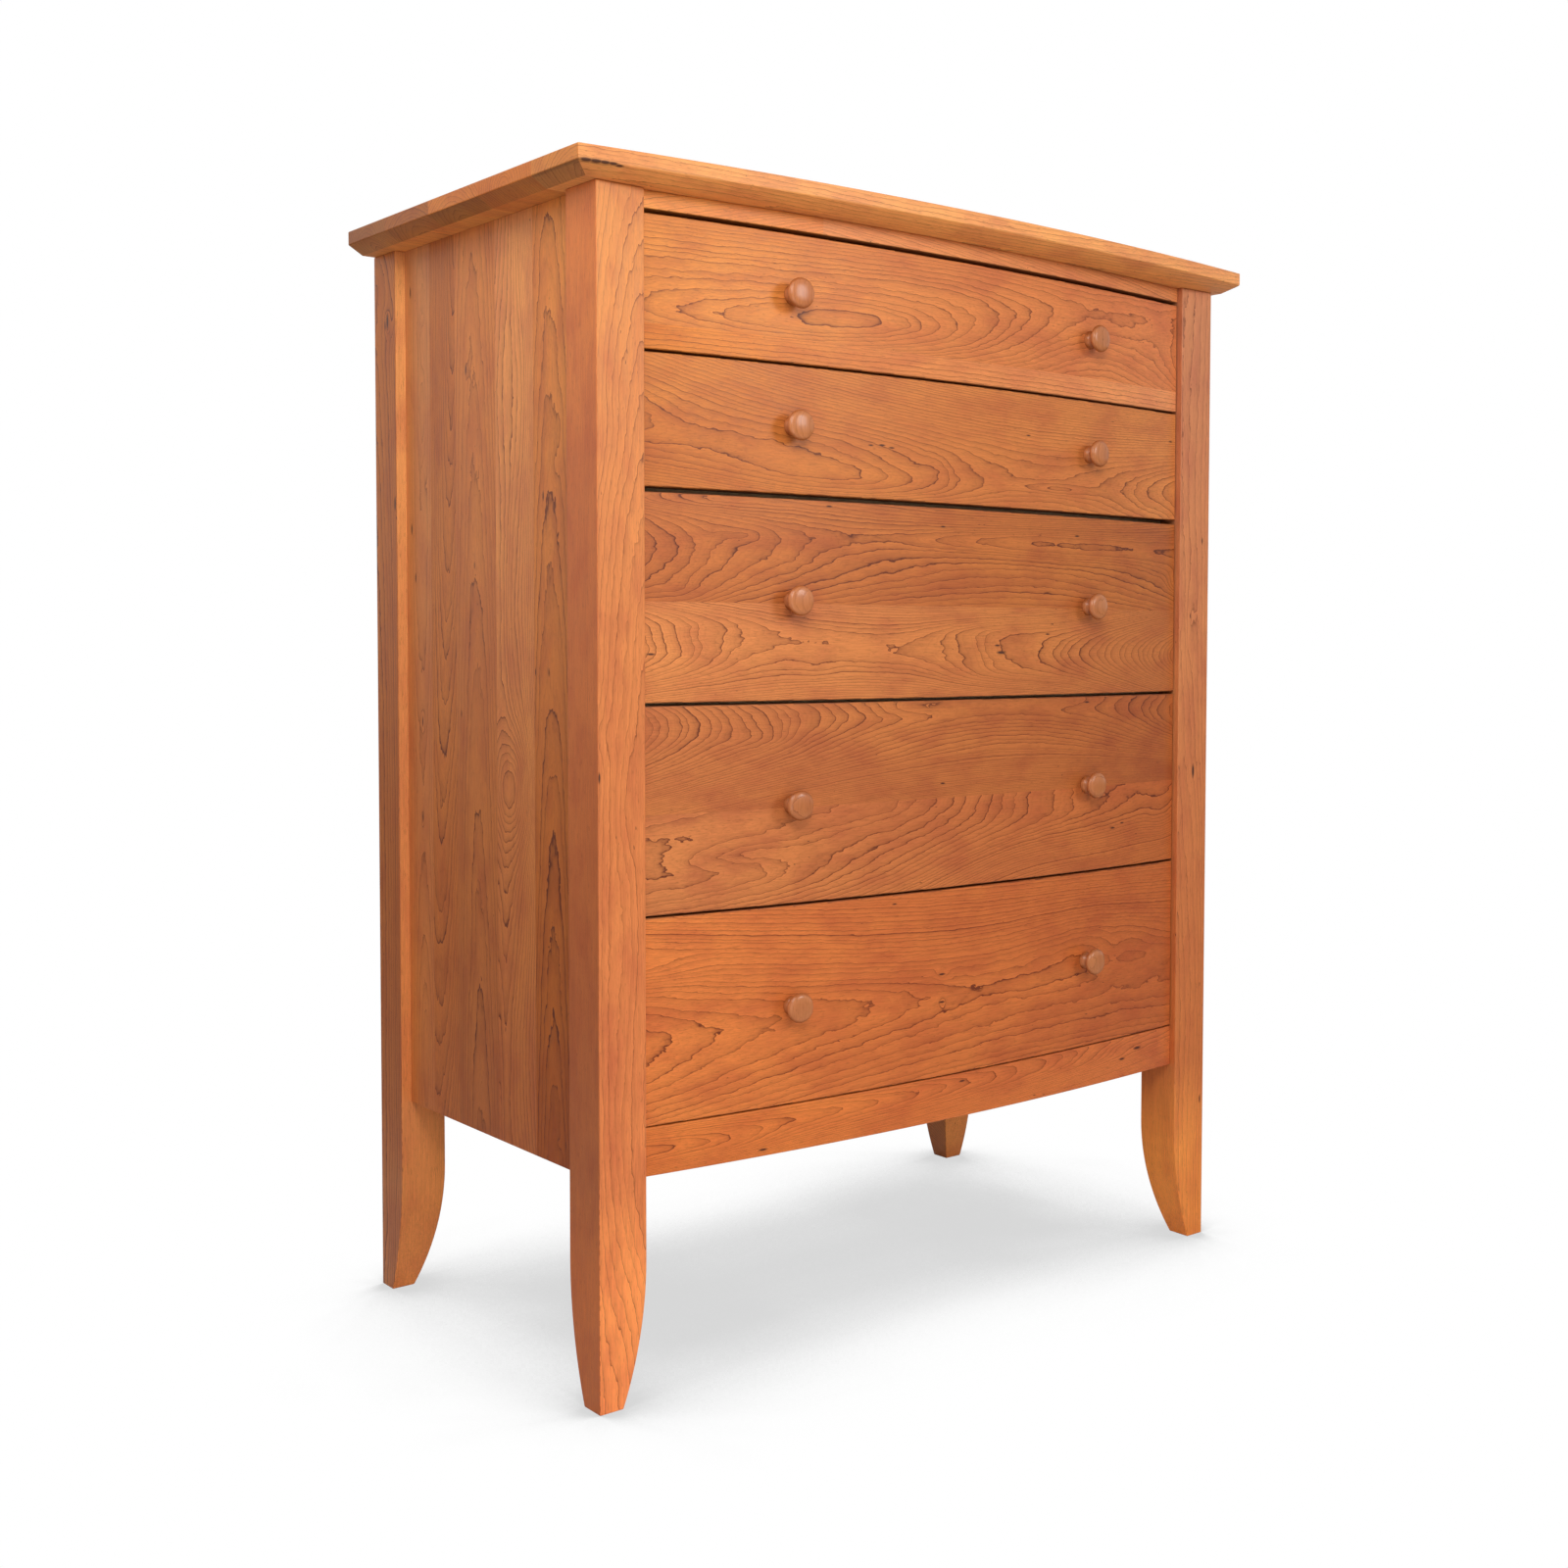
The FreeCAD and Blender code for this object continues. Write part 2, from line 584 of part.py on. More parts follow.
def add_top():
    """The bowed top, bevelled underneath along the front and both ends."""
    body = add_body("top_panel")
    half = f"({HALF_WIDTH} + Sizes.top_overhang_side)"
    front = f"{FRONT} - Sizes.top_overhang_front"
    radius = f"({half} ^ 2 + Sizes.top_bow ^ 2) / (2 * Sizes.top_bow)"
    plan = [(f"-{half}", front, radius, 1), (half, front), (half, REAR), (f"-{half}", REAR)]
    outline = add_sketch(body, "plan", "XY", TOP_Z, [plan])
    slab = add_feature("Pad", body, outline, "Sizes.top_thickness")
    doc.recompute()

    def is_bevelled(edge):
        box = edge.BoundBox
        return near(box.ZMax, value(TOP_Z)) and box.YMin < value(REAR) - 1

    bevel = body.newObject("PartDesign::Chamfer", "top_bevel")
    bevel.Base = (slab, [f"Edge{index}" for index, edge in enumerate(slab.Shape.Edges, 1) if is_bevelled(edge)])
    bevel.ChamferType = "Two distances"
    bevel.setExpression("Size", "Sizes.top_bevel_height")
    bevel.setExpression("Size2", "Sizes.top_bevel_run")

    rim = value(TOP_Z) + value("Sizes.top_thickness")
    arris = value(TOP_Z) + value("Sizes.top_bevel_height")

    def is_top_arris(edge):
        box = edge.BoundBox
        at_height = near(box.ZLength, 0) and (near(box.ZMax, rim) or near(box.ZMax, arris))
        return at_height and box.YMin < value(REAR) - 1

    ease_edges(body, is_top_arris)
    drilled = [(x, y, "Sizes.screw_diameter / 2") for x in TOP_SCREW_X for y in TOP_SCREW_Y]
    pilots = add_sketch(body, "pilot_holes", "XY", f"{TOP_Z} + Sizes.top_screw_depth / 2", circles=drilled)
    add_feature("Pocket", body, pilots, "Sizes.top_screw_depth", symmetric=True)
    add_node(body, "top_panel")


add_top()


# ---- Drawers ----

def tails(base, end, low, high, count):
    """The dovetails between two heights, each widening from its base line to its end."""
    pitch = f"(({high}) - ({low})) / {count}"
    outlines = []
    for index in range(round(value(count))):
        middle = f"({low}) + {pitch} * {index + 0.5}"
        neck = f"({pitch} - Sizes.pin_width) / 2"
        tip = f"({neck} + Sizes.tail_flare)"
        outlines.append([(base, f"{middle} - {neck}"), (end, f"{middle} - {tip}"),
                         (end, f"{middle} + {tip}"), (base, f"{middle} + {neck}")])
    return outlines


def front_tails(kind):
    end = f"{BOX_FRONT} - Sizes.front_tail_length"
    return tails(BOX_FRONT, end, "Sizes.box_rise", BOX_TOP_Z[kind], f"Sizes.{kind}_drawer_tails")


def rear_tails(kind):
    return tails(BOX_BACK_FRONT, BOX_REAR, BOX_BACK_Z, BOX_TOP_Z[kind], f"Sizes.{kind}_drawer_tails")


def cut_sockets(body, profile):
    """Sockets for the tails of both drawer sides."""
    for name, side in SIDES.items():
        middle = f"{side} * ({BOX_HALF} - Sizes.box_side_thickness / 2)"
        sockets = add_sketch(body, f"sockets_{name}", "YZ", middle, profile)
        add_feature("Pocket", body, sockets, "Sizes.box_side_thickness", symmetric=True)


def lift(obj, number):
    """Raise a drawer's piece from its own frame to the drawer's height in the chest."""
    obj.setExpression("Placement.Base.z", DRAWER_Z[number])


def add_drawer_front(number, kind):
    """A bowed front of even thickness, flat behind each end where the sides land."""
    body = add_body(f"drawer_{number}_front")
    back = BOX_FRONT
    plan = [(f"-{BOX_HALF}", bowed(SHOW_RADIUS, BOX_HALF), SHOW_RADIUS, 1),
            (BOX_HALF, bowed(SHOW_RADIUS, BOX_HALF)), (BOX_HALF, back),
            (LANDING_HALF, back, BACK_RADIUS, -1), (f"-{LANDING_HALF}", back), (f"-{BOX_HALF}", back)]
    outline = add_sketch(body, "plan", "XY", "0", [plan])
    add_feature("Pad", body, outline, f"Sizes.{kind}_drawer_height")
    ease_edges(body, is_show_edge)
    cut_sockets(body, front_tails(kind))

    groove_radius = f"({BACK_RADIUS} + Sizes.box_groove_depth)"
    groove_end = bowed(groove_radius, BOX_INSIDE)
    channel = [(f"-{BOX_INSIDE}", groove_end, groove_radius, 1), (BOX_INSIDE, groove_end),
               (BOX_INSIDE, back), (f"-{BOX_INSIDE}", back)]
    groove = add_sketch(body, "groove", "XY", f"({BOTTOM_Z}) + Sizes.box_bottom_thickness / 2", [channel])
    add_feature("Pocket", body, groove, "Sizes.box_bottom_thickness", symmetric=True)

    # Holes for the knob screws, square to the bowed face.
    for name, side in SIDES.items():
        hole = add_sketch(body, f"hole_{name}", "XZ", knob_y(), circles=[("0", "0", "Sizes.screw_diameter / 2")])
        hole.AttachmentOffset = FreeCAD.Placement(hole.AttachmentOffset.Base,
                                                  FreeCAD.Rotation(FreeCAD.Vector(0, 1, 0), side))
        hole.setExpression("AttachmentOffset.Base.x", knob_x(side))
        hole.setExpression("AttachmentOffset.Base.y", KNOB_Z[kind])
        hole.setExpression("AttachmentOffset.Rotation.Angle", KNOB_ANGLE)
        hole.setExpression("AttachmentOffset.Rotation.Axis.y", f"{side}")
        add_feature("Pocket", body, hole, "3 * Sizes.front_thickness", symmetric=True)
    lift(body, number)
    add_node(body, body.Name)


def is_show_edge(edge):
    """An edge of the bowed show face."""
    centre = value(SHOW_CENTRE)
    radius = value(SHOW_RADIUS)
    ends = [vertex.Point for vertex in edge.Vertexes]
    return all(near(math.hypot(point.x, point.y - centre), radius) for point in ends)


def add_drawer_side(number, kind, name, side):
    body = add_body(f"drawer_{number}_side_{name}")
    middle = f"{side} * ({BOX_HALF} - Sizes.box_side_thickness / 2)"
    top = BOX_TOP_Z[kind]
    face = [(BOX_FRONT, "Sizes.box_rise"), (BOX_REAR, "Sizes.box_rise"), (BOX_REAR, BOX_BACK_Z),
            (BOX_BACK_FRONT, BOX_BACK_Z), (BOX_BACK_FRONT, top), (BOX_FRONT, top)]
    outline = add_sketch(body, "face", "YZ", middle, [face])
    add_feature("Pad", body, outline, "Sizes.box_side_thickness", symmetric=True)
    dovetails = add_sketch(body, "tails", "YZ", middle, front_tails(kind) + rear_tails(kind))
    add_feature("Pad", body, dovetails, "Sizes.box_side_thickness", symmetric=True)
    groove = add_sketch(body, "groove", "YZ", f"{side} * ({BOX_INSIDE} + Sizes.box_groove_depth / 2)",
                        [rectangle(BOX_FRONT, BOX_REAR, BOTTOM_Z, BOX_BACK_Z)])
    add_feature("Pocket", body, groove, "Sizes.box_groove_depth", symmetric=True)
    lift(body, number)
    add_node(body, body.Name)


def add_drawer_back(number, kind):
    body = add_body(f"drawer_{number}_back")
    plan = rectangle(f"-{BOX_HALF}", BOX_HALF, BOX_BACK_FRONT, BOX_REAR)
    outline = add_sketch(body, "plan", "XY", BOX_BACK_Z, [plan])
    add_feature("Pad", body, outline, f"{BOX_TOP_Z[kind]} - {BOX_BACK_Z}")
    cut_sockets(body, rear_tails(kind))
    lift(body, number)
    add_node(body, body.Name)


def add_drawer_bottom(number):
    """The bottom: its front edge follows the groove of the bowed front."""
    body = add_body(f"drawer_{number}_bottom")
    reach = f"({BOX_INSIDE} + Sizes.box_groove_depth)"
    radius = f"({BACK_RADIUS} + Sizes.box_groove_depth)"
    front = bowed(radius, BOX_INSIDE)
    plan = [(f"-{BOX_INSIDE}", front, radius, 1), (BOX_INSIDE, front), (BOX_INSIDE, BOX_FRONT),
            (reach, BOX_FRONT), (reach, BOX_REAR), (f"-{reach}", BOX_REAR), (f"-{reach}", BOX_FRONT),
            (f"-{BOX_INSIDE}", BOX_FRONT)]
    outline = add_sketch(body, "plan", "XY", BOTTOM_Z, [plan])
    add_feature("Pad", body, outline, "Sizes.box_bottom_thickness")
    lift(body, number)
    add_node(body, body.Name)


def knob_x(side):
    return f"{side} * Sizes.knob_spacing / 2"


def knob_y():
    return bowed(SHOW_RADIUS, "Sizes.knob_spacing / 2")


def turn(body, profile, number, kind, side):
    """Turn a profile of (radius, distance behind the show face) and set it square to the bowed face."""
    sketch = add_sketch(body, "profile", "XY", "0", [profile])
    turned = body.newObject("PartDesign::Revolution", f"{body.Name}_turned")
    turned.Profile = sketch
    turned.ReferenceAxis = (sketch, ["V_Axis"])
    turned.Angle = 360
    body.Placement = FreeCAD.Placement(FreeCAD.Vector(), FreeCAD.Rotation(FreeCAD.Vector(0, 0, 1), side))
    body.setExpression("Placement.Base.x", knob_x(side))
    body.setExpression("Placement.Base.y", knob_y())
    body.setExpression("Placement.Base.z", f"{DRAWER_Z[number]} + {KNOB_Z[kind]}")
    body.setExpression("Placement.Rotation.Angle", KNOB_ANGLE)
    body.setExpression("Placement.Rotation.Axis.z", f"{side}")


def add_knob(number, kind, name, side):
    """A turned knob: flange, waist, and a thick head with a rounded rim and a slightly domed face."""
    body = add_body(f"drawer_{number}_knob_{name}")
    hole = "Sizes.screw_diameter / 2"
    base = "Sizes.knob_base_diameter / 2"
    neck = "Sizes.knob_neck_diameter / 2"
    head = "(Sizes.knob_head_diameter / 2 - Sizes.knob_rim_bulge)"
    flange = (base, "-Sizes.knob_base_thickness")
    waist = (neck, "-Sizes.knob_neck_place")
    under = (head, "Sizes.knob_head_thickness - Sizes.knob_length")
    over = (head, "Sizes.knob_dome - Sizes.knob_length")
    crown = ("0", "-Sizes.knob_length")
    profile = [(hole, "0"), (hole, "-Sizes.knob_hole_depth"), ("0", "-Sizes.knob_hole_depth"),
               (*crown, bulge_radius(crown, ("0 - " + head, over[1]), "Sizes.knob_dome"), 1),
               (*over, bulge_radius(over, under, "Sizes.knob_rim_bulge"), 1),
               (*under, bulge_radius(under, waist, "Sizes.knob_cove"), -1),
               (*waist, bulge_radius(waist, flange, "Sizes.knob_cove"), -1), flange, (base, "0")]
    turn(body, profile, number, kind, side)
    add_node(body, body.Name)


def add_knob_screw(number, kind, name, side):
    """A machine screw from inside the drawer through its front into the knob."""
    body = add_body(f"drawer_{number}_knob_screw_{name}")
    shank = "Sizes.screw_diameter / 2"
    head = "Sizes.screw_head_diameter / 2"
    inside = "Sizes.front_thickness"
    end = f"{inside} + Sizes.screw_head_thickness"
    profile = [("0", "-Sizes.knob_hole_depth"), (shank, "-Sizes.knob_hole_depth"), (shank, inside),
               (head, inside), (head, end), ("0", end)]
    turn(body, profile, number, kind, side)
    return body


def add_drawer(number, kind):
    add_drawer_front(number, kind)
    for name, side in SIDES.items():
        add_drawer_side(number, kind, name, side)
    add_drawer_back(number, kind)
    add_drawer_bottom(number)
    for name, side in SIDES.items():
        add_knob(number, kind, name, side)
    screws = [add_knob_screw(number, kind, name, side) for name, side in SIDES.items()]
    add_group(f"drawer_{number}_knob_screws", screws)


for number, kind in DRAWERS.items():
    add_drawer(number, kind)

# ---- Checks and files ----

doc.recompute()
for obj in doc.Objects:
    if "Invalid" in obj.State or "Error" in obj.State:
        raise RuntimeError(f"{obj.Name} failed: {obj.State}")
for node in nodes:
    if node.Shape.isNull() or not node.Shape.isValid() or not node.Shape.Solids:
        raise RuntimeError(f"{node.Label} has no valid shape")

os.makedirs("parts", exist_ok=True)
for node in nodes:
    node.Shape.exportStep(f"parts/{node.Label}.step")
    print(f"{node.Label}: {len(node.Shape.Solids)} solids, {node.Shape.Volume / 1000:.1f} cm3")
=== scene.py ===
# %% [markdown]
# # A bow front chest of drawers in cherry
# The chest is a frame of four curved-foot posts, two panelled sides and a bevelled top, with five drawers
# behind one bowed face. The CAD model already holds every part at its true size, so this script loads it
# as a fixed frame and dresses what can be seen. Everything is in metres, with the floor at z = 0 and the
# drawers facing -Y.

# %% Load the frame
import math

import bmesh
import bpy
from mathutils import Matrix, Vector


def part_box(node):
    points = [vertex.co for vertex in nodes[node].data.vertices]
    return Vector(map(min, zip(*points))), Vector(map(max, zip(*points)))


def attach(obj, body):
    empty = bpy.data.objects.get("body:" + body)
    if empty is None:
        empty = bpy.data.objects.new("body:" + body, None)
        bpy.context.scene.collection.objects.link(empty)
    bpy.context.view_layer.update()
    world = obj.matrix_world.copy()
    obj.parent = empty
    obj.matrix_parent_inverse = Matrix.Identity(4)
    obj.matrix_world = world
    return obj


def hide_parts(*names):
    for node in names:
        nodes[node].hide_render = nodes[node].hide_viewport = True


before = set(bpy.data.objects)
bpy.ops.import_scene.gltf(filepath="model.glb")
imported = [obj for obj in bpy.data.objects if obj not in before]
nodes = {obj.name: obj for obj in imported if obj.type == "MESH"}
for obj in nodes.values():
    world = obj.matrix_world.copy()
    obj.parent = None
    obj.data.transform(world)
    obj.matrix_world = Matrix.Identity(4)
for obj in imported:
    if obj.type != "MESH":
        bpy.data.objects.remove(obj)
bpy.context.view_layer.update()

MM = 0.001

# %% [markdown]
# ## The camera
# The chest is seen from its left front corner at about the height of the third drawer. A camera could be
# aimed with a Track To constraint, but the view is also turned a hair and looks past the chest's middle, so
# three angles and a shift of the lens say it best: the shift slides the picture without leaning the posts.

# %% Place the camera
EYE = Vector((-1.3754, -1.7685, 0.7592))
YAW, PITCH, ROLL = (math.radians(angle) for angle in (40.12, -2.51, 0.2))
SENSOR_WIDTH, FOCAL_LENGTH = 36, 42.767
SHIFT_X, SHIFT_Y = -0.0721, -0.0406
CLIP_END = 50

forward = Vector((math.sin(YAW) * math.cos(PITCH), math.cos(YAW) * math.cos(PITCH), math.sin(PITCH)))
level = Vector((math.cos(YAW), -math.sin(YAW), 0))
upright = level.cross(forward)
right = math.cos(ROLL) * level + math.sin(ROLL) * upright
up = math.cos(ROLL) * upright - math.sin(ROLL) * level
camera = bpy.data.objects.new("camera", bpy.data.cameras.new("camera"))
camera.matrix_world = Matrix.Translation(EYE) @ Matrix((right, up, -forward)).transposed().to_4x4()
camera.data.sensor_width = SENSOR_WIDTH
camera.data.lens = FOCAL_LENGTH
camera.data.shift_x = SHIFT_X
camera.data.shift_y = SHIFT_Y
camera.data.clip_end = CLIP_END
bpy.context.scene.collection.objects.link(camera)
bpy.context.scene.camera = camera
bpy.context.scene.view_settings.view_transform = "Standard"
print("camera at", tuple(round(c, 3) for c in EYE))

# %% [markdown]
# ## Colours and nodes
# Paint charts give colours as sRGB hex values, while the renderer adds light in linear values, so one
# function turns the first into the second. A second one adds a shader node with its settings and its links,
# and hands back its outputs, so that each material reads from the top down like a recipe.

# %% Helpers for materials
def linear(colour):
    """An sRGB hex colour such as "d98a55" as linear RGBA, by the formula of the sRGB standard."""
    levels = [int(colour[i:i + 2], 16) / 255 for i in (0, 2, 4)]
    return (*(c / 12.92 if c <= 0.04045 else ((c + 0.055) / 1.055) ** 2.4 for c in levels), 1)


def add(tree, kind, links=None, **settings):
    """Add a shader node, link or set its inputs by index or name, and return its outputs."""
    node = tree.nodes.new(kind)
    for name, setting in settings.items():
        setattr(node, name, setting)
    for socket, source in (links or {}).items():
        if isinstance(source, bpy.types.NodeSocket):
            tree.links.new(source, node.inputs[socket])
        else:
            node.inputs[socket].default_value = source
    return node.outputs


def new_material(name):
    """An empty material and its node tree."""
    material = bpy.data.materials.new(name)
    material.use_nodes = True
    material.node_tree.nodes.clear()
    return material, material.node_tree


print("d98a55 is", [round(c, 3) for c in linear("d98a55")])

# %% [markdown]
# ## Cherry, as the tree grew it
# Black cherry is a warm orange-brown wood with thin, dark and slightly crinkled lines where each year's
# growth ends. Bands of noise would look like stripes painted on a box. Here the shader measures how far a
# point lies from the pith of the tree that its board was sawn from, and each year's growth is one step of
# that distance, so the arches on a face, the straight lines at its edge and the arcs on its end grain
# all belong together.
#
# The chest is glued up from many boards, so each face carries its own tree in attributes, and one material
# can serve them all. Lengths are in millimetres, in the board's own axes: along the fibres, across its face
# and into its depth. The pith is given by one of its points and by how it leans and bends from there. A
# swell is where the trunk bulged round an old branch, which pushes the rings out or in. A spot is a pin
# knot or a fleck of gum. A tone multiplies the wood's colour, since no two boards are alike, and a fade is
# how much that tone changes with each metre along the board. Some fades also carry painted light: they
# make a board paler or darker along its length where light falls on it unevenly.

# %% What a board remembers of its tree
SWELLS, SPOTS = 8, 5
END = 1e6  # in mm, past the end of any board
NO_SWELL = (0, 0, 0, 1, 1)
NO_SPOT = (END, 0, 1)


def board(pith, lean, ring, tone, fade, swells=(), spots=()):
    """One board: pith (along, across, depth), lean per mm along it (across, depth, and how fast the depth's
    lean grows), ring (width, contrast, seed), tone (red, green, blue), its change per metre along the board,
    up to eight swells (along, across, growth, length, width) and up to five pin knots or gum spots
    (along, across, size)."""
    marks = {"pith": pith, "lean": lean, "ring": ring, "tone": tone, "fade": fade}
    for number in range(SWELLS):
        swell = swells[number] if number < len(swells) else NO_SWELL
        marks[f"swell_{number}"] = swell[:3]
        marks[f"reach_{number}"] = (*swell[3:], END)
    for number in range(SPOTS):
        marks[f"spot_{number}"] = spots[number] if number < len(spots) else NO_SPOT
    return marks


print(f"a board has up to {SWELLS} swells and {SPOTS} spots")

# %% [markdown]
# A piece of several boards is cut along its glue lines with Bisect, which adds edges without changing the
# shape, and every face then gets the marks of the board that it lies in. A tint afterwards makes single
# faces paler or darker than their board, mostly as painted light or shade, such as the painted shade on an
# edge inside a narrow gap.

# %% Write the boards on a piece
def mark_boards(bm, boards, axis=2):
    """Write each board's marks on its faces. Boards are (upper limit in mm along axis, board), rising."""
    layers = {name: bm.faces.layers.float_vector.new(name) for name in boards[0][1]}
    for limit, _ in boards[:-1]:
        plane = Vector((0, 0, 0))
        plane[axis] = 1
        bmesh.ops.bisect_plane(bm, geom=[*bm.verts, *bm.edges, *bm.faces], dist=1e-7,
                               plane_co=plane * limit * MM, plane_no=plane)
    for face in bm.faces:
        middle = face.calc_center_median()[axis] / MM
        marks = next(tree for limit, tree in boards if middle <= limit)
        for name, layer in layers.items():
            face[layer] = marks[name]


def tint(bm, share_of):
    """Multiply the tone of each face by share_of(face), and the fade with it."""
    for name in ("tone", "fade"):
        layer = bm.faces.layers.float_vector[name]
        for face in bm.faces:
            face[layer] = face[layer] * share_of(face)


# %% [markdown]
# The shader starts from the distance to the pith. The grain's direction is only a choice of axes, so one
# recipe serves level rails, upright posts and the top. Near a swell the distance grows or shrinks in a
# soft hump, exp(-r * r), which bends the rings round it. A hidden piece needs no marks on its faces:
# it is made of one plain board, whose numbers then stand in the material itself.

# %% The distance from the pith
def mark(tree, name, plain):
    """A board's mark, read from the faces, or the plain board's own numbers."""
    if plain:
        return add(tree, "ShaderNodeCombineXYZ", dict(enumerate(plain[name])))[0]
    return add(tree, "ShaderNodeAttribute", attribute_name=name)["Vector"]


def board_point(tree, grain):
    """The point in the board's own axes (along, across, depth), in mm."""
    place = add(tree, "ShaderNodeTexCoord")["Object"]
    scaled = add(tree, "ShaderNodeVectorMath", {0: place, "Scale": 1 / MM}, operation="SCALE")[0]
    axes = add(tree, "ShaderNodeSeparateXYZ", {0: scaled})
    along, across, depth = (axes["XYZ".index(letter)] for letter in grain)
    return add(tree, "ShaderNodeCombineXYZ", {0: along, 1: across, 2: depth})[0]


def pith_distance(tree, point, plain):
    """How far the point lies from the pith, which leans and bends, in mm."""
    pith, lean = mark(tree, "pith", plain), mark(tree, "lean", plain)
    local = add(tree, "ShaderNodeVectorMath", {0: point, 1: pith}, operation="SUBTRACT")[0]
    run, beside, behind = add(tree, "ShaderNodeSeparateXYZ", {0: local})
    drift = add(tree, "ShaderNodeVectorMath", {0: lean, "Scale": run}, operation="SCALE")[0]
    sideways, inwards, bend = add(tree, "ShaderNodeSeparateXYZ", {0: drift})
    bend = add(tree, "ShaderNodeMath", {0: bend, 1: run, 2: inwards}, operation="MULTIPLY_ADD")[0]
    beside = add(tree, "ShaderNodeMath", {0: beside, 1: sideways}, operation="SUBTRACT")[0]
    behind = add(tree, "ShaderNodeMath", {0: behind, 1: bend}, operation="SUBTRACT")[0]
    radius = add(tree, "ShaderNodeCombineXYZ", {0: beside, 1: behind})[0]
    return add(tree, "ShaderNodeVectorMath", {0: radius}, operation="LENGTH")["Value"]


def swollen(tree, point, distance):
    """The distance with its humps at the board's swells."""
    for number in range(SWELLS):
        swell, reach = mark(tree, f"swell_{number}", None), mark(tree, f"reach_{number}", None)
        amount = add(tree, "ShaderNodeSeparateXYZ", {0: swell})[2]
        away = add(tree, "ShaderNodeVectorMath", {0: point, 1: swell}, operation="SUBTRACT")[0]
        away = add(tree, "ShaderNodeVectorMath", {0: away, 1: reach}, operation="DIVIDE")[0]
        away = add(tree, "ShaderNodeVectorMath", {0: away, 1: away}, operation="DOT_PRODUCT")["Value"]
        hump = add(tree, "ShaderNodeMath", {0: math.exp(-1), 1: away}, operation="POWER")[0]
        distance = add(tree, "ShaderNodeMath", {0: hump, 1: amount, 2: distance}, operation="MULTIPLY_ADD")[0]
    return distance


# %% [markdown]
# No ring is a perfect circle. Slow noise bends the rings, finer noise crinkles their lines where they are cut
# at a flat angle, and one noise along the years makes some years wide and others narrow. All of it is
# drawn out along the fibres, because a tree grows so: what bends one ring bends it for a hand's length.

# %% The number of the ring
WARPS = ((240, 70, 0.5), (60, 20, 0.6), (18, 7, 0.5), (6, 2.6, 0.16))  # along, across in mm, swing in rings
SEED_STEP = (3.7, 9.1, 5.3)
GOOD_YEARS, GOOD_YEAR_GROWTH = 0.45, 1.1  # changes a year, and how many rings they add at most


def fibrous(tree, point, along, across, seed, detail=2.0):
    """Noise from 0 to 1 whose grains are about along x across millimetres, drawn out with the fibres."""
    size = add(tree, "ShaderNodeVectorMath", {0: point, 1: (1 / along, 1 / across, 1 / across)},
               operation="MULTIPLY")[0]
    place = add(tree, "ShaderNodeVectorMath", {0: size, 1: seed}, operation="ADD")[0]
    return add(tree, "ShaderNodeTexNoise", {"Vector": place, "Scale": 1.0, "Detail": detail})[0]


def ring_number(tree, point, distance, width, seed):
    """How many years grew between the pith and the point."""
    years = add(tree, "ShaderNodeMath", {0: distance, 1: width}, operation="DIVIDE")[0]
    for along, across, swing in WARPS:
        bend = fibrous(tree, point, along, across, seed, 1.0)
        bend = add(tree, "ShaderNodeMath", {0: bend, 1: 0.5}, operation="SUBTRACT")[0]
        years = add(tree, "ShaderNodeMath", {0: bend, 1: swing, 2: years}, operation="MULTIPLY_ADD")[0]
    good = add(tree, "ShaderNodeTexNoise", {"W": years, "Scale": GOOD_YEARS, "Detail": 1.0},
               noise_dimensions="1D")[0]
    return add(tree, "ShaderNodeMath", {0: good, 1: GOOD_YEAR_GROWTH, 2: years}, operation="MULTIPLY_ADD")[0]


# %% [markdown]
# A year of cherry is pale earlywood that darkens slowly and ends in a thin line of latewood, so the fraction
# of the ring number, raised to a high power, draws the line with one soft and one sharp side. Each line
# has its own strength, because years differ, and a few faint lines run between, from dry spells.

# %% The dark latewood
LINE_SHARPNESS = 20
FAINTEST_LINE, DARKEST_LINE = 0.35, 1.6
AUTUMN_DARKNESS = 0.22
DRY_SPELLS, DRY_SPELL_DARKNESS = 4.0, 0.1


def latewood(tree, years, strength, contrast):
    """How dark a point is from latewood, and how late in its year it grew."""
    season = add(tree, "ShaderNodeMath", {0: years}, operation="FRACT")[0]
    year = add(tree, "ShaderNodeMath", {0: years}, operation="FLOOR")[0]
    vigour = add(tree, "ShaderNodeTexWhiteNoise", {"W": year}, noise_dimensions="1D")[0]
    vigour = add(tree, "ShaderNodeMath", {0: vigour, 1: 2.0}, operation="POWER")[0]
    vigour = add(tree, "ShaderNodeMapRange", {0: vigour, 3: FAINTEST_LINE, 4: DARKEST_LINE})[0]
    line = add(tree, "ShaderNodeMath", {0: season, 1: LINE_SHARPNESS}, operation="POWER")[0]
    dark = add(tree, "ShaderNodeMath", {0: line, 1: vigour}, operation="MULTIPLY")[0]
    autumn = add(tree, "ShaderNodeMath", {0: season, 1: 2.0}, operation="POWER")[0]
    dark = add(tree, "ShaderNodeMath", {0: autumn, 1: AUTUMN_DARKNESS, 2: dark}, operation="MULTIPLY_ADD")[0]
    between = add(tree, "ShaderNodeMath", {0: years, 1: DRY_SPELLS}, operation="MULTIPLY")[0]
    between = add(tree, "ShaderNodeMath", {0: between}, operation="FRACT")[0]
    between = add(tree, "ShaderNodeMath", {0: between, 1: 4.0}, operation="POWER")[0]
    dark = add(tree, "ShaderNodeMath", {0: between, 1: DRY_SPELL_DARKNESS, 2: dark},
               operation="MULTIPLY_ADD")[0]
    dark = add(tree, "ShaderNodeMath", {0: dark, 1: strength}, operation="MULTIPLY")[0]
    dark = add(tree, "ShaderNodeMath", {0: dark, 1: contrast}, operation="MULTIPLY", use_clamp=True)[0]
    return dark, autumn


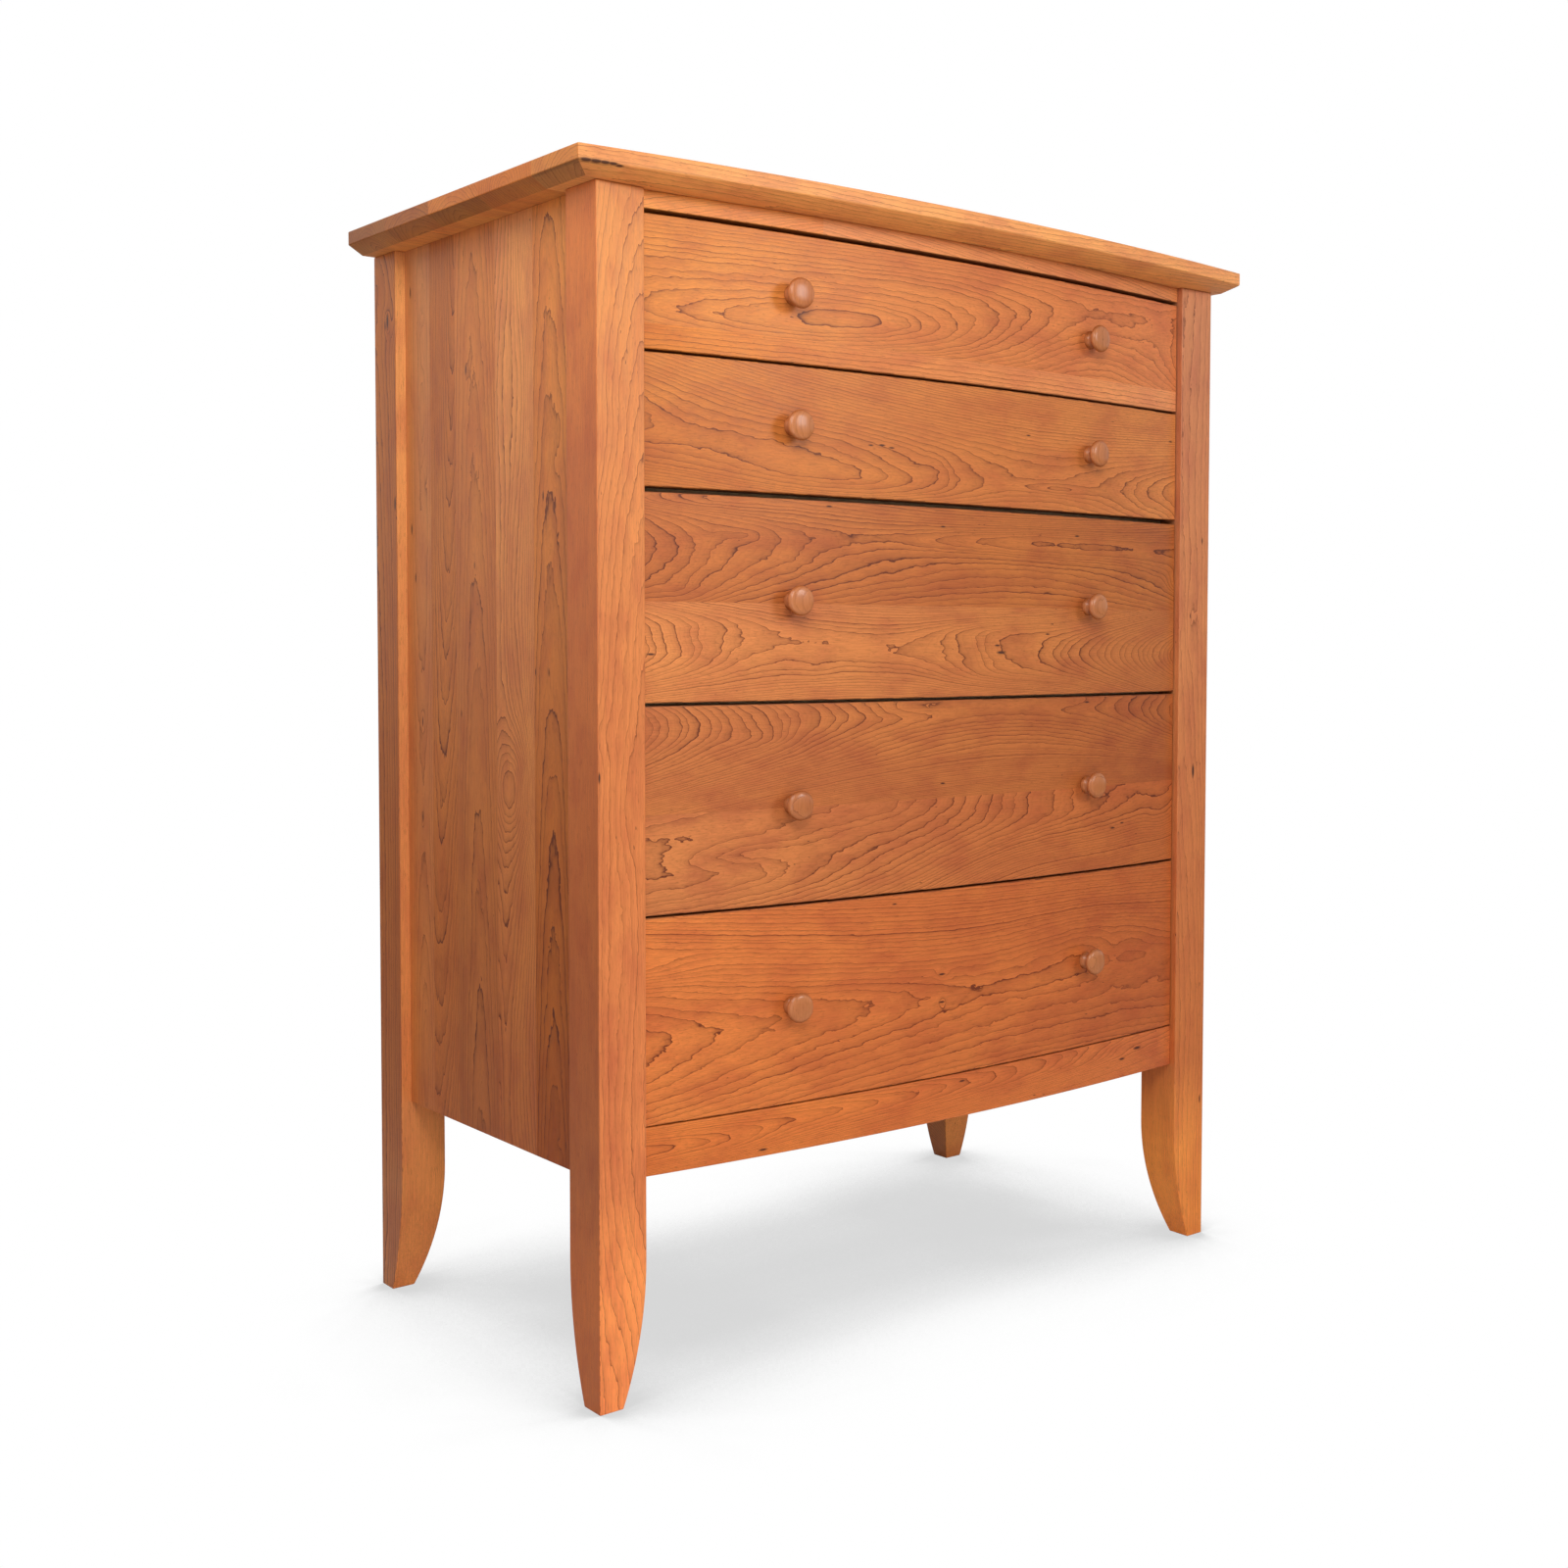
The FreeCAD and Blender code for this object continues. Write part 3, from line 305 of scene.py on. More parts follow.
# %% [markdown]
# Three colours lie under the lines. The wood drifts between a paler and a deeper one over a hand's breadth
# or more, and reddish clouds the size of a thumb lie on it. Over that run fine fibres and short dark pores.
# Real pores are a tenth of a millimetre wide, too fine to show, so they are drawn 1 mm wide and faint.

# %% Ground colour, fibres and pores
DRIFT_SIZE, DRIFT_LIMITS = (340, 95), (0.32, 0.68)
CLOUD_SIZE, CLOUD_LIMITS, CLOUD_STRENGTH = (60, 26), (0.44, 0.74), 0.7
FIBRE_SIZE, FIBRE_LIMITS = (26, 1.3), (0.25, 0.75)
DARK_FIBRE, PALE_FIBRE = 0.13, 0.11
PORE_SIZE, PORE_LIMITS, PORE_SHADE = (9, 0.9), (0.62, 0.72), 0.24


def ground_colour(tree, point, seed, dark, colours, contrast):
    """Earlywood that drifts to deeper wood, with reddish clouds and the ring lines over it."""
    early, late, line, cloud = (linear(colours[name]) for name in ("early", "late", "line", "cloud"))
    drift = fibrous(tree, point, *DRIFT_SIZE, seed, 2.0)
    drift = add(tree, "ShaderNodeMapRange", {0: drift, 1: DRIFT_LIMITS[0], 2: DRIFT_LIMITS[1]})[0]
    colour = add(tree, "ShaderNodeMix", {0: drift, 6: early, 7: late}, data_type="RGBA")[2]
    patch = fibrous(tree, point, *CLOUD_SIZE, seed, 3.0)
    patch = add(tree, "ShaderNodeMapRange", {0: patch, 1: CLOUD_LIMITS[0], 2: CLOUD_LIMITS[1],
                                             4: CLOUD_STRENGTH * contrast})[0]
    colour = add(tree, "ShaderNodeMix", {0: patch, 6: colour, 7: cloud}, data_type="RGBA")[2]
    return add(tree, "ShaderNodeMix", {0: dark, 6: colour, 7: line}, data_type="RGBA")[2]


def fibres(tree, point, seed, contrast):
    """The noise of the fibres, and the shade that they and the pores give."""
    fibre = fibrous(tree, point, *FIBRE_SIZE, seed, 3.0)
    shade = add(tree, "ShaderNodeMapRange", {0: fibre, 1: FIBRE_LIMITS[0], 2: FIBRE_LIMITS[1],
                                             3: 1 - DARK_FIBRE * contrast, 4: 1 + PALE_FIBRE * contrast})[0]
    pore = fibrous(tree, point, *PORE_SIZE, seed, 1.0)
    pore = add(tree, "ShaderNodeMapRange", {0: pore, 1: PORE_LIMITS[0], 2: PORE_LIMITS[1], 3: 1.0,
                                            4: 1 - PORE_SHADE * contrast})[0]
    return fibre, add(tree, "ShaderNodeMath", {0: shade, 1: pore}, operation="MULTIPLY")[0]


# %% [markdown]
# End grain drinks more oil than a face does and goes browner, so a face that looks along the fibres gets its
# own tint. Gum is a dark resin in small streaks: a few flecks lie wherever two noises both run high, and the
# board's own knots and spots are ovals four times as long as wide. They belong to a board's face, or to
# its edge where that is what shows, as on the top.

# %% End grain, gum and spots
END_GRAIN = (0.74, 0.62, 0.46, 1)
END_GRAIN_LIMITS = (0.3, 0.7)
GUM = "4a2616"
FLECK_SIZE, FLECK_LIMITS = (9, 2.2), (0.76, 0.80)
FLECK_AREA, FLECK_AREA_LIMITS = (120, 45), (0.56, 0.60)
SPOT_SQUEEZE, SPOT_EDGE = (0.25, 1, 0), (1.4, 0.6)


def end_grain_oil(tree, grain):
    """White on a board's long faces, and the brown of oiled end grain on its ends."""
    normal = add(tree, "ShaderNodeTexCoord")["Normal"]
    facing = add(tree, "ShaderNodeSeparateXYZ", {0: normal})
    end = add(tree, "ShaderNodeMath", {0: facing["XYZ".index(grain[0])]}, operation="ABSOLUTE")[0]
    end = add(tree, "ShaderNodeMapRange", {0: end, 1: END_GRAIN_LIMITS[0], 2: END_GRAIN_LIMITS[1]})[0]
    return add(tree, "ShaderNodeMix", {0: end, 6: (1, 1, 1, 1), 7: END_GRAIN}, data_type="RGBA")[2]


def gum_flecks(tree, point, seed):
    """Small streaks of gum, 1 where they are and 0 elsewhere."""
    gum = fibrous(tree, point, *FLECK_SIZE, seed, 1.0)
    gum = add(tree, "ShaderNodeMapRange", {0: gum, 1: FLECK_LIMITS[0], 2: FLECK_LIMITS[1]})[0]
    area = fibrous(tree, point, *FLECK_AREA, seed, 1.0)
    area = add(tree, "ShaderNodeMapRange", {0: area, 1: FLECK_AREA_LIMITS[0], 2: FLECK_AREA_LIMITS[1]})[0]
    return add(tree, "ShaderNodeMath", {0: gum, 1: area}, operation="MULTIPLY")[0]


def spotted(tree, place, gum):
    """The gum with the board's own knots and spots, at their places on its face."""
    for number in range(SPOTS):
        spot = mark(tree, f"spot_{number}", None)
        size = add(tree, "ShaderNodeSeparateXYZ", {0: spot})[2]
        away = add(tree, "ShaderNodeVectorMath", {0: place, 1: spot}, operation="SUBTRACT")[0]
        away = add(tree, "ShaderNodeVectorMath", {0: away, 1: SPOT_SQUEEZE}, operation="MULTIPLY")[0]
        away = add(tree, "ShaderNodeVectorMath", {0: away}, operation="LENGTH")["Value"]
        away = add(tree, "ShaderNodeMath", {0: away, 1: size}, operation="DIVIDE")[0]
        away = add(tree, "ShaderNodeMapRange", {0: away, 1: SPOT_EDGE[0], 2: SPOT_EDGE[1]})[0]
        gum = add(tree, "ShaderNodeMath", {0: gum, 1: away}, operation="MAXIMUM")[0]
    return gum


# %% [markdown]
# The last step puts it together. A wood has four colours: early and late for the ground, line for the
# latewood and cloud for the reddish patches. The oiled surface is a satin one, a bit glossier on some
# fibres than on others, with a faint relief that sinks towards each ring line.

# %% The whole wood
GLOSS_SWING = 0.06
GLOSS_LIMITS = (0.2, 0.8)
RELIEF, RELIEF_HEIGHT = 0.12, 0.4 * MM
LATEWOOD_SINKS = -0.3
OIL_IOR, OIL_SPECULAR = 1.46, 0.3


def wood(name, grain, colours, contrast=1.0, roughness=0.42, plain=None, on_edge=False):
    """A solid wood in four colours, whose grain names the axes along, across and into the board."""
    material, tree = new_material(name)
    point = board_point(tree, grain)
    distance = pith_distance(tree, point, plain)
    if not plain:
        distance = swollen(tree, point, distance)
    width, strength, seed = add(tree, "ShaderNodeSeparateXYZ", {0: mark(tree, "ring", plain)})
    seed = add(tree, "ShaderNodeVectorMath", {0: SEED_STEP, "Scale": seed}, operation="SCALE")[0]
    years = ring_number(tree, point, distance, width, seed)
    dark, autumn = latewood(tree, years, strength, contrast)
    colour = ground_colour(tree, point, seed, dark, colours, contrast)
    fibre, shade = fibres(tree, point, seed, contrast)
    oil = end_grain_oil(tree, grain)
    gum = gum_flecks(tree, point, seed)
    along, across, depth = add(tree, "ShaderNodeSeparateXYZ", {0: point})
    if not plain:
        place = add(tree, "ShaderNodeCombineXYZ", {0: along, 1: depth if on_edge else across})[0]
        gum = spotted(tree, place, gum)
    colour = add(tree, "ShaderNodeMix", {0: gum, 6: colour, 7: linear(GUM)}, data_type="RGBA")[2]
    metres = add(tree, "ShaderNodeMath", {0: along, 1: MM}, operation="MULTIPLY")[0]
    fade = mark(tree, "fade", plain)
    tone = add(tree, "ShaderNodeVectorMath", {0: fade, "Scale": metres}, operation="SCALE")[0]
    tone = add(tree, "ShaderNodeVectorMath", {0: tone, 1: mark(tree, "tone", plain)}, operation="ADD")[0]
    colour = add(tree, "ShaderNodeVectorMath", {0: colour, 1: tone}, operation="MULTIPLY")[0]
    colour = add(tree, "ShaderNodeVectorMath", {0: colour, 1: oil}, operation="MULTIPLY")[0]
    colour = add(tree, "ShaderNodeVectorMath", {0: colour, "Scale": shade}, operation="SCALE")[0]
    gloss = add(tree, "ShaderNodeMapRange", {0: fibre, 1: GLOSS_LIMITS[0], 2: GLOSS_LIMITS[1],
                                             3: roughness - GLOSS_SWING, 4: roughness + GLOSS_SWING})[0]
    height = add(tree, "ShaderNodeMath", {0: autumn, 1: LATEWOOD_SINKS, 2: fibre},
                 operation="MULTIPLY_ADD")[0]
    normal = add(tree, "ShaderNodeBump", {"Height": height, "Strength": RELIEF, "Distance": RELIEF_HEIGHT})[0]
    surface = add(tree, "ShaderNodeBsdfPrincipled", {"Base Color": colour, "Roughness": gloss,
                                                     "IOR": OIL_IOR, "Specular IOR Level": OIL_SPECULAR,
                                                     "Normal": normal})[0]
    add(tree, "ShaderNodeOutputMaterial", {0: surface})
    return material


# %% [markdown]
# ## Oiled cherry
# The show wood is solid black cherry, planed, sanded and rubbed with oil. The oil soaks in and leaves no
# film, so the eye gets a deep colour with a soft sheen, and no mirror. Four materials differ only in
# the way that the grain runs: level in the rails and the drawer fronts, from end to end in the top, and
# upright in the posts and in the boards of the sides, whose faces look in two directions. The top's spots
# lie on its edge, which shows more than its face.

# %% Four directions of oiled cherry
CHERRY = {"early": "cf7b3e", "late": "c26e39", "line": "6a3015", "cloud": "b25c33"}
level_cherry = wood("oiled_cherry_level", "XZY", CHERRY)
top_cherry = wood("oiled_cherry_top", "XYZ", CHERRY, on_edge=True)
upright_cherry = wood("oiled_cherry_upright", "ZXY", CHERRY)
panel_cherry = wood("oiled_cherry_side_boards", "ZYX", CHERRY)
print([material.name for material in bpy.data.materials])

# %% [markdown]
# ## Making a piece
# Every piece ends the same way: doubles merged, faces turned outwards, a mesh at the origin, a small eased
# edge as a plane and a scrap of sandpaper leave it, and a ride on the body that carries it. The easing is a
# Bevel modifier that takes only sharp edges, and its hardened normals keep the flats flat.

# %% Finish a piece
SHARP = math.radians(32)
EASED = 1.2 * MM
DOUBLES = 0.002 * MM


def finish_piece(bm, name, body, material, replaced, eased=EASED):
    """Turn a bmesh into a piece that rides on body and stands for the replaced CAD nodes."""
    bmesh.ops.remove_doubles(bm, verts=bm.verts, dist=DOUBLES)
    bmesh.ops.recalc_face_normals(bm, faces=bm.faces)
    mesh = bpy.data.meshes.new(name)
    bm.to_mesh(mesh)
    bm.free()
    mesh.materials.append(material)
    mesh.shade_smooth()
    mesh.set_sharp_from_angle(angle=SHARP)
    piece = bpy.data.objects.new(name, mesh)
    bpy.context.scene.collection.objects.link(piece)
    if eased:
        easing = piece.modifiers.new("eased edges", "BEVEL")
        easing.width = eased
        easing.segments = 3
        easing.limit_method = "ANGLE"
        easing.angle_limit = SHARP
        easing.harden_normals = True
    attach(piece, body)
    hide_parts(*replaced)
    print(f"{name}: {len(mesh.polygons)} faces")
    return piece


def extrude(bm, faces, step):
    """Extrude faces by a vector and return the new end faces and their corners."""
    made = bmesh.ops.extrude_face_region(bm, geom=faces)["geom"]
    corners = [item for item in made if isinstance(item, bmesh.types.BMVert)]
    bmesh.ops.translate(bm, verts=corners, vec=step)
    return [item for item in made if isinstance(item, bmesh.types.BMFace)], corners


def block(low, high):
    """A bmesh box between two corners."""
    bm = bmesh.new()
    bmesh.ops.create_cube(bm, size=1)
    bmesh.ops.scale(bm, verts=bm.verts, vec=high - low)
    bmesh.ops.translate(bm, verts=bm.verts, vec=(low + high) / 2)
    return bm


# %% [markdown]
# ## Corner posts
# Each post is square above and runs into a foot whose two inner faces curve in towards the floor. It could be
# cut from a block with a boolean, but a post is simple to grow: start from its top face, extrude it down to
# the apron's lower edge, then go on in short steps, and pull the two inner faces in along the curve.

# %% Grow a post
FOOT_CURVE_TOP = 145 * MM
FOOT_TAPER = 27 * MM
FOOT_RADIUS = (FOOT_CURVE_TOP ** 2 + FOOT_TAPER ** 2) / (2 * FOOT_TAPER)
FOOT_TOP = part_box("apron")[0].z
FOOT_STEPS = 45


def taper_at(z):
    """How far the inner faces of a foot have come in at height z."""
    drop = max(FOOT_CURVE_TOP - z, 0)
    return FOOT_RADIUS - math.sqrt(FOOT_RADIUS ** 2 - drop ** 2)


def grown_post(low, high):
    """A bmesh post between two corners, with the foot's curve on the sides towards the chest's middle."""
    middle = (low + high) / 2
    inner_x = 1 if middle.x < 0 else -1
    inner_y = 1 if middle.y < 0 else -1
    bm = bmesh.new()
    bmesh.ops.create_grid(bm, x_segments=1, y_segments=1, size=0.5)
    bmesh.ops.scale(bm, verts=bm.verts, vec=(high.x - low.x, high.y - low.y, 1))
    bmesh.ops.translate(bm, verts=bm.verts, vec=(middle.x, middle.y, high.z))
    face, above = list(bm.faces), high.z
    for step in range(FOOT_STEPS + 1):
        z = FOOT_TOP * (1 - step / FOOT_STEPS)
        face, corners = extrude(bm, face, Vector((0, 0, z - above)))
        for corner in corners:
            if (corner.co.x - middle.x) * inner_x > 0:
                corner.co.x -= inner_x * (taper_at(z) - taper_at(above))
            if (corner.co.y - middle.y) * inner_y > 0:
                corner.co.y -= inner_y * (taper_at(z) - taper_at(above))
        above = z
    return bm


print(f"a foot curves in by {FOOT_TAPER / MM:.0f} mm on a radius of {FOOT_RADIUS / MM:.0f} mm")

# %% [markdown]
# A post shows two kinds of wood. The front posts have darker heartwood on their outer sides, and the rear
# posts have pale sapwood on the side towards the front, whose tone is raised further as painted light on
# that narrow face. Spots belong to a board's face, so these sides are cleared of them. The front posts
# come from two trees, and the rear right post mirrors the rear left one.
# The feet look paler than the posts, from the light that a white floor throws up at them, so their tone
# rises over the first 100 mm below the apron, and less on these sides than elsewhere.

# %% Four posts
FRONT_LEFT_TREE = board((405, -380, -480), (-0.0048, -8.0e-4, -1.9e-5), (1.2, 0.8, 1),
                        (1.25, 1.1, 1.4), (-0.05, 0.25, 0),
                        swells=((40, -410, 4, 130, 30), (590, -410, -2, 60, 15),
                                (945, -440, 1.5, 50, 25), (665, -450, -2, 25, 20),
                                (485, -410, 2.5, 200, 20)),
                        spots=((624, -443, 1.2),))
FRONT_RIGHT_TREE = board((-820, 345, -480), (0.023, -0.02, 4.9e-6), (1.2, 0.8, 2),
                         (1.2, 1.1, 0.85), (-0.05, 0.3, 1.35),
                         swells=((345, 445, -3, 200, 55), (975, 420, 1, 160, 30),
                                 (425, 392, -1, 250, 7), (530, 425, -1, 70, 15),
                                 (775, 412, 1.5, 50, 8)),
                         spots=((594, 419, 2), (883, 432, 1), (174, 438, 1.2), (789, 411, 0.8)))
REAR_LEFT_TREE = board((305, 300, -705), (-0.021, -4.0e-4, -9.1e-6), (1.3, 1.4, 3),
                       (0.85, 0.85, 0.95), (0.05, 0, -0.35),
                       swells=((70, 255, -1, 40, 13), (1120, 220, -3, 30, 14), (160, 195, -2, 70, 50),
                               (1160, 210, -2.5, 40, 65), (1115, 237, 4, 10, 6), (910, 221, 4, 5, 5)),
                       spots=((1117, 237, 2.2), (1113, 243, 1.2), (910, 221, 1.8)))
# The rear posts' front faces: pale sapwood, with the tone raised further as painted light.
SAPWOOD_AND_PAINTED_LIGHT = {"tone": (1.5, 1.7, 1.7), "fade": (0, 0.4, 1)}
HEARTWOOD = {"tone": (0.7, 0.6, 0.65), "fade": (0.4, 0.4, 0.35)}
NO_SPOTS = {f"spot_{number}": NO_SPOT for number in range(SPOTS)}
FRONT_FOOT = {"side": (0.4, 0.4, 0.1), "elsewhere": (0.4, 0.6, 0.4)}
REAR_FOOT = {"side": (0, 0, 0), "elsewhere": (0.2, 0.4, 0.7)}
FOOT_BLEND = 100 * MM
FACING = 0.5  # a face looks a way where its normal's part that way passes this


def mirrored(tree):
    """The same tree seen from the other side of the chest, for boards whose depth is along x."""
    return {**tree, "pith": Vector(tree["pith"]) * Vector((1, 1, -1)),
            "lean": Vector(tree["lean"]) * Vector((1, -1, -1))}


def foot_tint(face, side, paleness):
    """What share of its board's tone a face of a post keeps."""
    gain = Vector(paleness["side" if face.normal.dot(side) > FACING else "elsewhere"])
    drop = max(FOOT_TOP - face.calc_center_median().z, 0)
    return Vector((1, 1, 1)) + gain * min(drop / FOOT_BLEND, 1)


POSTS = {
    "post_front_left": (upright_cherry, FRONT_LEFT_TREE, (-1, 0, 0), HEARTWOOD, FRONT_FOOT),
    "post_front_right": (upright_cherry, FRONT_RIGHT_TREE, (1, 0, 0), HEARTWOOD, FRONT_FOOT),
    "post_rear_left": (panel_cherry, REAR_LEFT_TREE, (0, -1, 0), SAPWOOD_AND_PAINTED_LIGHT, REAR_FOOT),
    "post_rear_right": (panel_cherry, mirrored(REAR_LEFT_TREE), (0, -1, 0), SAPWOOD_AND_PAINTED_LIGHT, REAR_FOOT),
}
for name, (finish, tree, direction, side_marks, paleness) in POSTS.items():
    side = Vector(direction)
    bm = grown_post(*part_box(name))
    mark_boards(bm, [(END, tree)])
    bmesh.ops.recalc_face_normals(bm, faces=bm.faces)
    for face in bm.faces:
        if face.normal.dot(side) > FACING:
            for mark_name, value in {**side_marks, **NO_SPOTS}.items():
                face[bm.faces.layers.float_vector[mark_name]] = value
    tint(bm, lambda face: foot_tint(face, side, paleness))
    finish_piece(bm, f"shaped_{name}", "case", finish, [name])

# %% [markdown]
# ## Side panels
# A side is five narrow boards glued edge to edge and set back between the posts. The glue lines close so well
# that they show only where the figure changes, so the panel is one block, cut along its glue lines, and
# each strip of faces belongs to another tree. The right side has the same boards, mirrored.

# %% Two side panels
# Each board's fade makes it paler towards the top: partly the wood, partly painted light from above.
SIDE_BOARDS = [
    (-74.5, board((600, -110, -490), (0.004, -0.04, 0), (3.6, 1.5, 11),
                  (0.45, 0.15, -0.15), (0.8, 1.2, 1.25),
                  swells=((970, -126, -1.5, 20, 9), (930, -118, 2.5, 15, 9), (705, -111, 1.5, 20, 9),
                          (630, -108, 2, 15, 10), (500, -78, 1.5, 90, 12), (245, -118, 2, 10, 7)),
                  spots=((902, -94, 1.2), (724, -104, 1), (724, -77, 0.9)))),
    (5.6, board((825, 0, -230), (0.034, -0.005, 1.0e-6), (0.9, 1.6, 12),
                (0.75, 0.55, 0.35), (0.6, 1.05, 1.5),
                swells=((290, 3, 1.5, 260, 9), (790, -30, 3, 120, 25), (1025, -10, 2.5, 140, 25),
                        (1020, -75, -4, 110, 35), (315, -45, 4.5, 160, 40), (600, -35, -7, 60, 55)))),
    (96.7, board((600, 50, -490), (0.01, -0.03, 0), (3.3, 1, 13), (0.6, 0.45, 0.4), (0.55, 0.8, 0.8),
                 swells=((1045, 71, -2, 25, 7), (1080, 62, -1.5, 40, 12), (860, 78, 1, 120, 8),
                         (700, 30, -1, 150, 10), (420, 66, 1.5, 60, 12)),
                 spots=((1046, 71, 1.3), (676, 86, 0.9), (836, 54, 0.9)))),
    (155.5, board((600, 130, -480), (-0.059, 0.055, 0), (3, 1.4, 14),
                  (0.9, 0.8, 0.65), (0.1, 0.2, 0.2),
                  swells=((670, 124, 1, 15, 10), (560, 110, 1.5, 60, 14), (400, 140, 1.5, 20, 12),
                          (340, 120, -2, 60, 14), (960, 108, -1, 40, 9)))),
    (END, board((600, 180, -490), (0, 0, 0), (1.7, 0.8, 15), (0.95, 0.85, 0.75), (0.15, 0.45, 0.8),
                swells=((560, 180, 5, 200, 40), (1135, 172, -1.5, 25, 6), (1080, 173, 1.5, 20, 5),
                        (1010, 173, -2, 40, 9), (930, 172, 1.5, 20, 6), (665, 180, 1.5, 20, 6),
                        (555, 181, 1.5, 20, 6), (300, 175, -2.5, 90, 15)),
                spots=((1146, 203, 1.4), (881, 204, 1.4), (826, 195, 1.2), (664, 180, 1.3),
                       (556, 181, 1.3)))),
]
PANEL_EASED = 0.5 * MM

for side in ("left", "right"):
    low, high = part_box(f"side_panel_{side}")
    low.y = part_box(f"post_front_{side}")[1].y
    high.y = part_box(f"post_rear_{side}")[0].y
    bm = block(low, high)
    boards = SIDE_BOARDS if side == "left" else [(limit, mirrored(tree)) for limit, tree in SIDE_BOARDS]
    mark_boards(bm, boards, axis=1)
    finish_piece(bm, f"boarded_side_{side}", "case", panel_cherry,
                 [f"side_panel_{side}"], eased=PANEL_EASED)

# %% [markdown]
# ## The bow
# The drawer fronts, the top rail and the apron share one upright cylinder, which bows out by 24 mm between
# the posts, and the top's front edge follows one of its own. A bowed outline starts from one corner
# vertex, which Spin carries round the cylinder's axis, and the back is a straight edge or a second arc.
# Two or more such outlines are bridged into a solid.

# %% Bowed outlines
BOW = 24 * MM
FRONT_SETBACK = 8 * MM
ARC_STEPS = 40
left_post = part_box("post_front_left")
post_inside = left_post[1].x
SHOW_RADIUS = (post_inside ** 2 + BOW ** 2) / (2 * BOW)
SHOW_CENTRE = left_post[0].y + FRONT_SETBACK - BOW + SHOW_RADIUS


def arc_at(radius, centre, x):
    """Where an arc about a centre on the y axis lies at x, on the side of the viewer."""
    return centre - math.sqrt(radius ** 2 - x ** 2)


def bowed_outline(bm, half, radius, centre, back, z, back_radius=None):
    """A closed ring of edges: an arc in front, and behind it a line at back or an arc."""
    before = set(bm.edges)
    ends = []
    for arc_radius in (radius, back_radius):
        if arc_radius:
            first = bm.verts.new((-half, arc_at(arc_radius, centre, half), z))
            spun = bmesh.ops.spin(bm, geom=[first], cent=(0, centre, z), axis=(0, 0, 1), steps=ARC_STEPS,
                                  angle=2 * math.asin(half / arc_radius))
            last = next(item for item in spun["geom_last"] if isinstance(item, bmesh.types.BMVert))
        else:
            first, last = (bm.verts.new((side * half, back, z)) for side in (-1, 1))
            bm.edges.new((first, last))
        ends.append((first, last))
    for front_end, back_end in zip(*ends):
        bm.edges.new((front_end, back_end))
    return [edge for edge in bm.edges if edge not in before]


def bowed_solid(outlines):
    """A solid between outlines, each given as the settings of bowed_outline."""
    bm = bmesh.new()
    rings = [bowed_outline(bm, *outline) for outline in outlines]
    for below, above in zip(rings, rings[1:]):
        bmesh.ops.bridge_loops(bm, edges=below + above)
    for ring in (rings[0], rings[-1]):
        bmesh.ops.contextual_create(bm, geom=ring)
    return bm


print(f"the bow has a radius of {SHOW_RADIUS / MM:.1f} mm about y = {SHOW_CENTRE / MM:.1f} mm")

# %% [markdown]
# The top rail has two boards along its length and a straight back, and the apron is one board of an even
# thickness. An edge that faces the narrow gap over a drawer gets little light, so it is tinted to half
# the tone of its board, and the gap reads as a dark line.

# %% Top rail and apron
GAP_DARKNESS = 0.5
LEVEL = 0.7  # a face is level where its normal's upright part passes this
APRON_THICKNESS = 24.5 * MM
TOP_RAIL_BOARDS = [
    (-180, board((-400, 1140, -300), (0.02, -0.01, 1.5e-4), (1.6, 1, 21),
                 (1.25, 1.05, 1.05), (-0.85, -2.55, -1.8))),
    (END, board((200, 1150, -290), (-0.02, 0.01, 1.5e-4), (1.8, 1, 23),
                (1.3, 1.5, 1.8), (-0.2, -0.3, -0.15))),
]
APRON_BOARD = board((-60, 260, -260), (0.03, -0.05, 1.5e-4), (1.2, 1.2, 22),
                    (1.25, 1.1, 0.95), (-0.35, -0.5, 0),
                    swells=((-290, 240, -2, 60, 12), (-240, 250, 2, 120, 15),
                            (160, 250, -1.5, 140, 9), (300, 262, 2, 60, 9)),
                    spots=((-253, 231, 1.2), (15, 264, 1), (320, 256, 1.7), (290, 247, 1.3)))

low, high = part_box("top_rail")
bm = bowed_solid([(-post_inside, SHOW_RADIUS, SHOW_CENTRE, left_post[1].y, z) for z in (low.z, high.z)])
mark_boards(bm, TOP_RAIL_BOARDS, axis=0)
bmesh.ops.recalc_face_normals(bm, faces=bm.faces)
# Painted shade on the rail's underside, over the first drawer.
tint(bm, lambda face: GAP_DARKNESS if face.normal.z < -LEVEL else 1)
finish_piece(bm, "bowed_top_rail", "case", level_cherry, ["top_rail"])

low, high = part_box("apron")
bm = bowed_solid([(-post_inside, SHOW_RADIUS, SHOW_CENTRE, None, z, SHOW_RADIUS - APRON_THICKNESS)
                  for z in (low.z, high.z)])
mark_boards(bm, [(END, APRON_BOARD)])
finish_piece(bm, "bowed_apron", "case", level_cherry, ["apron"])
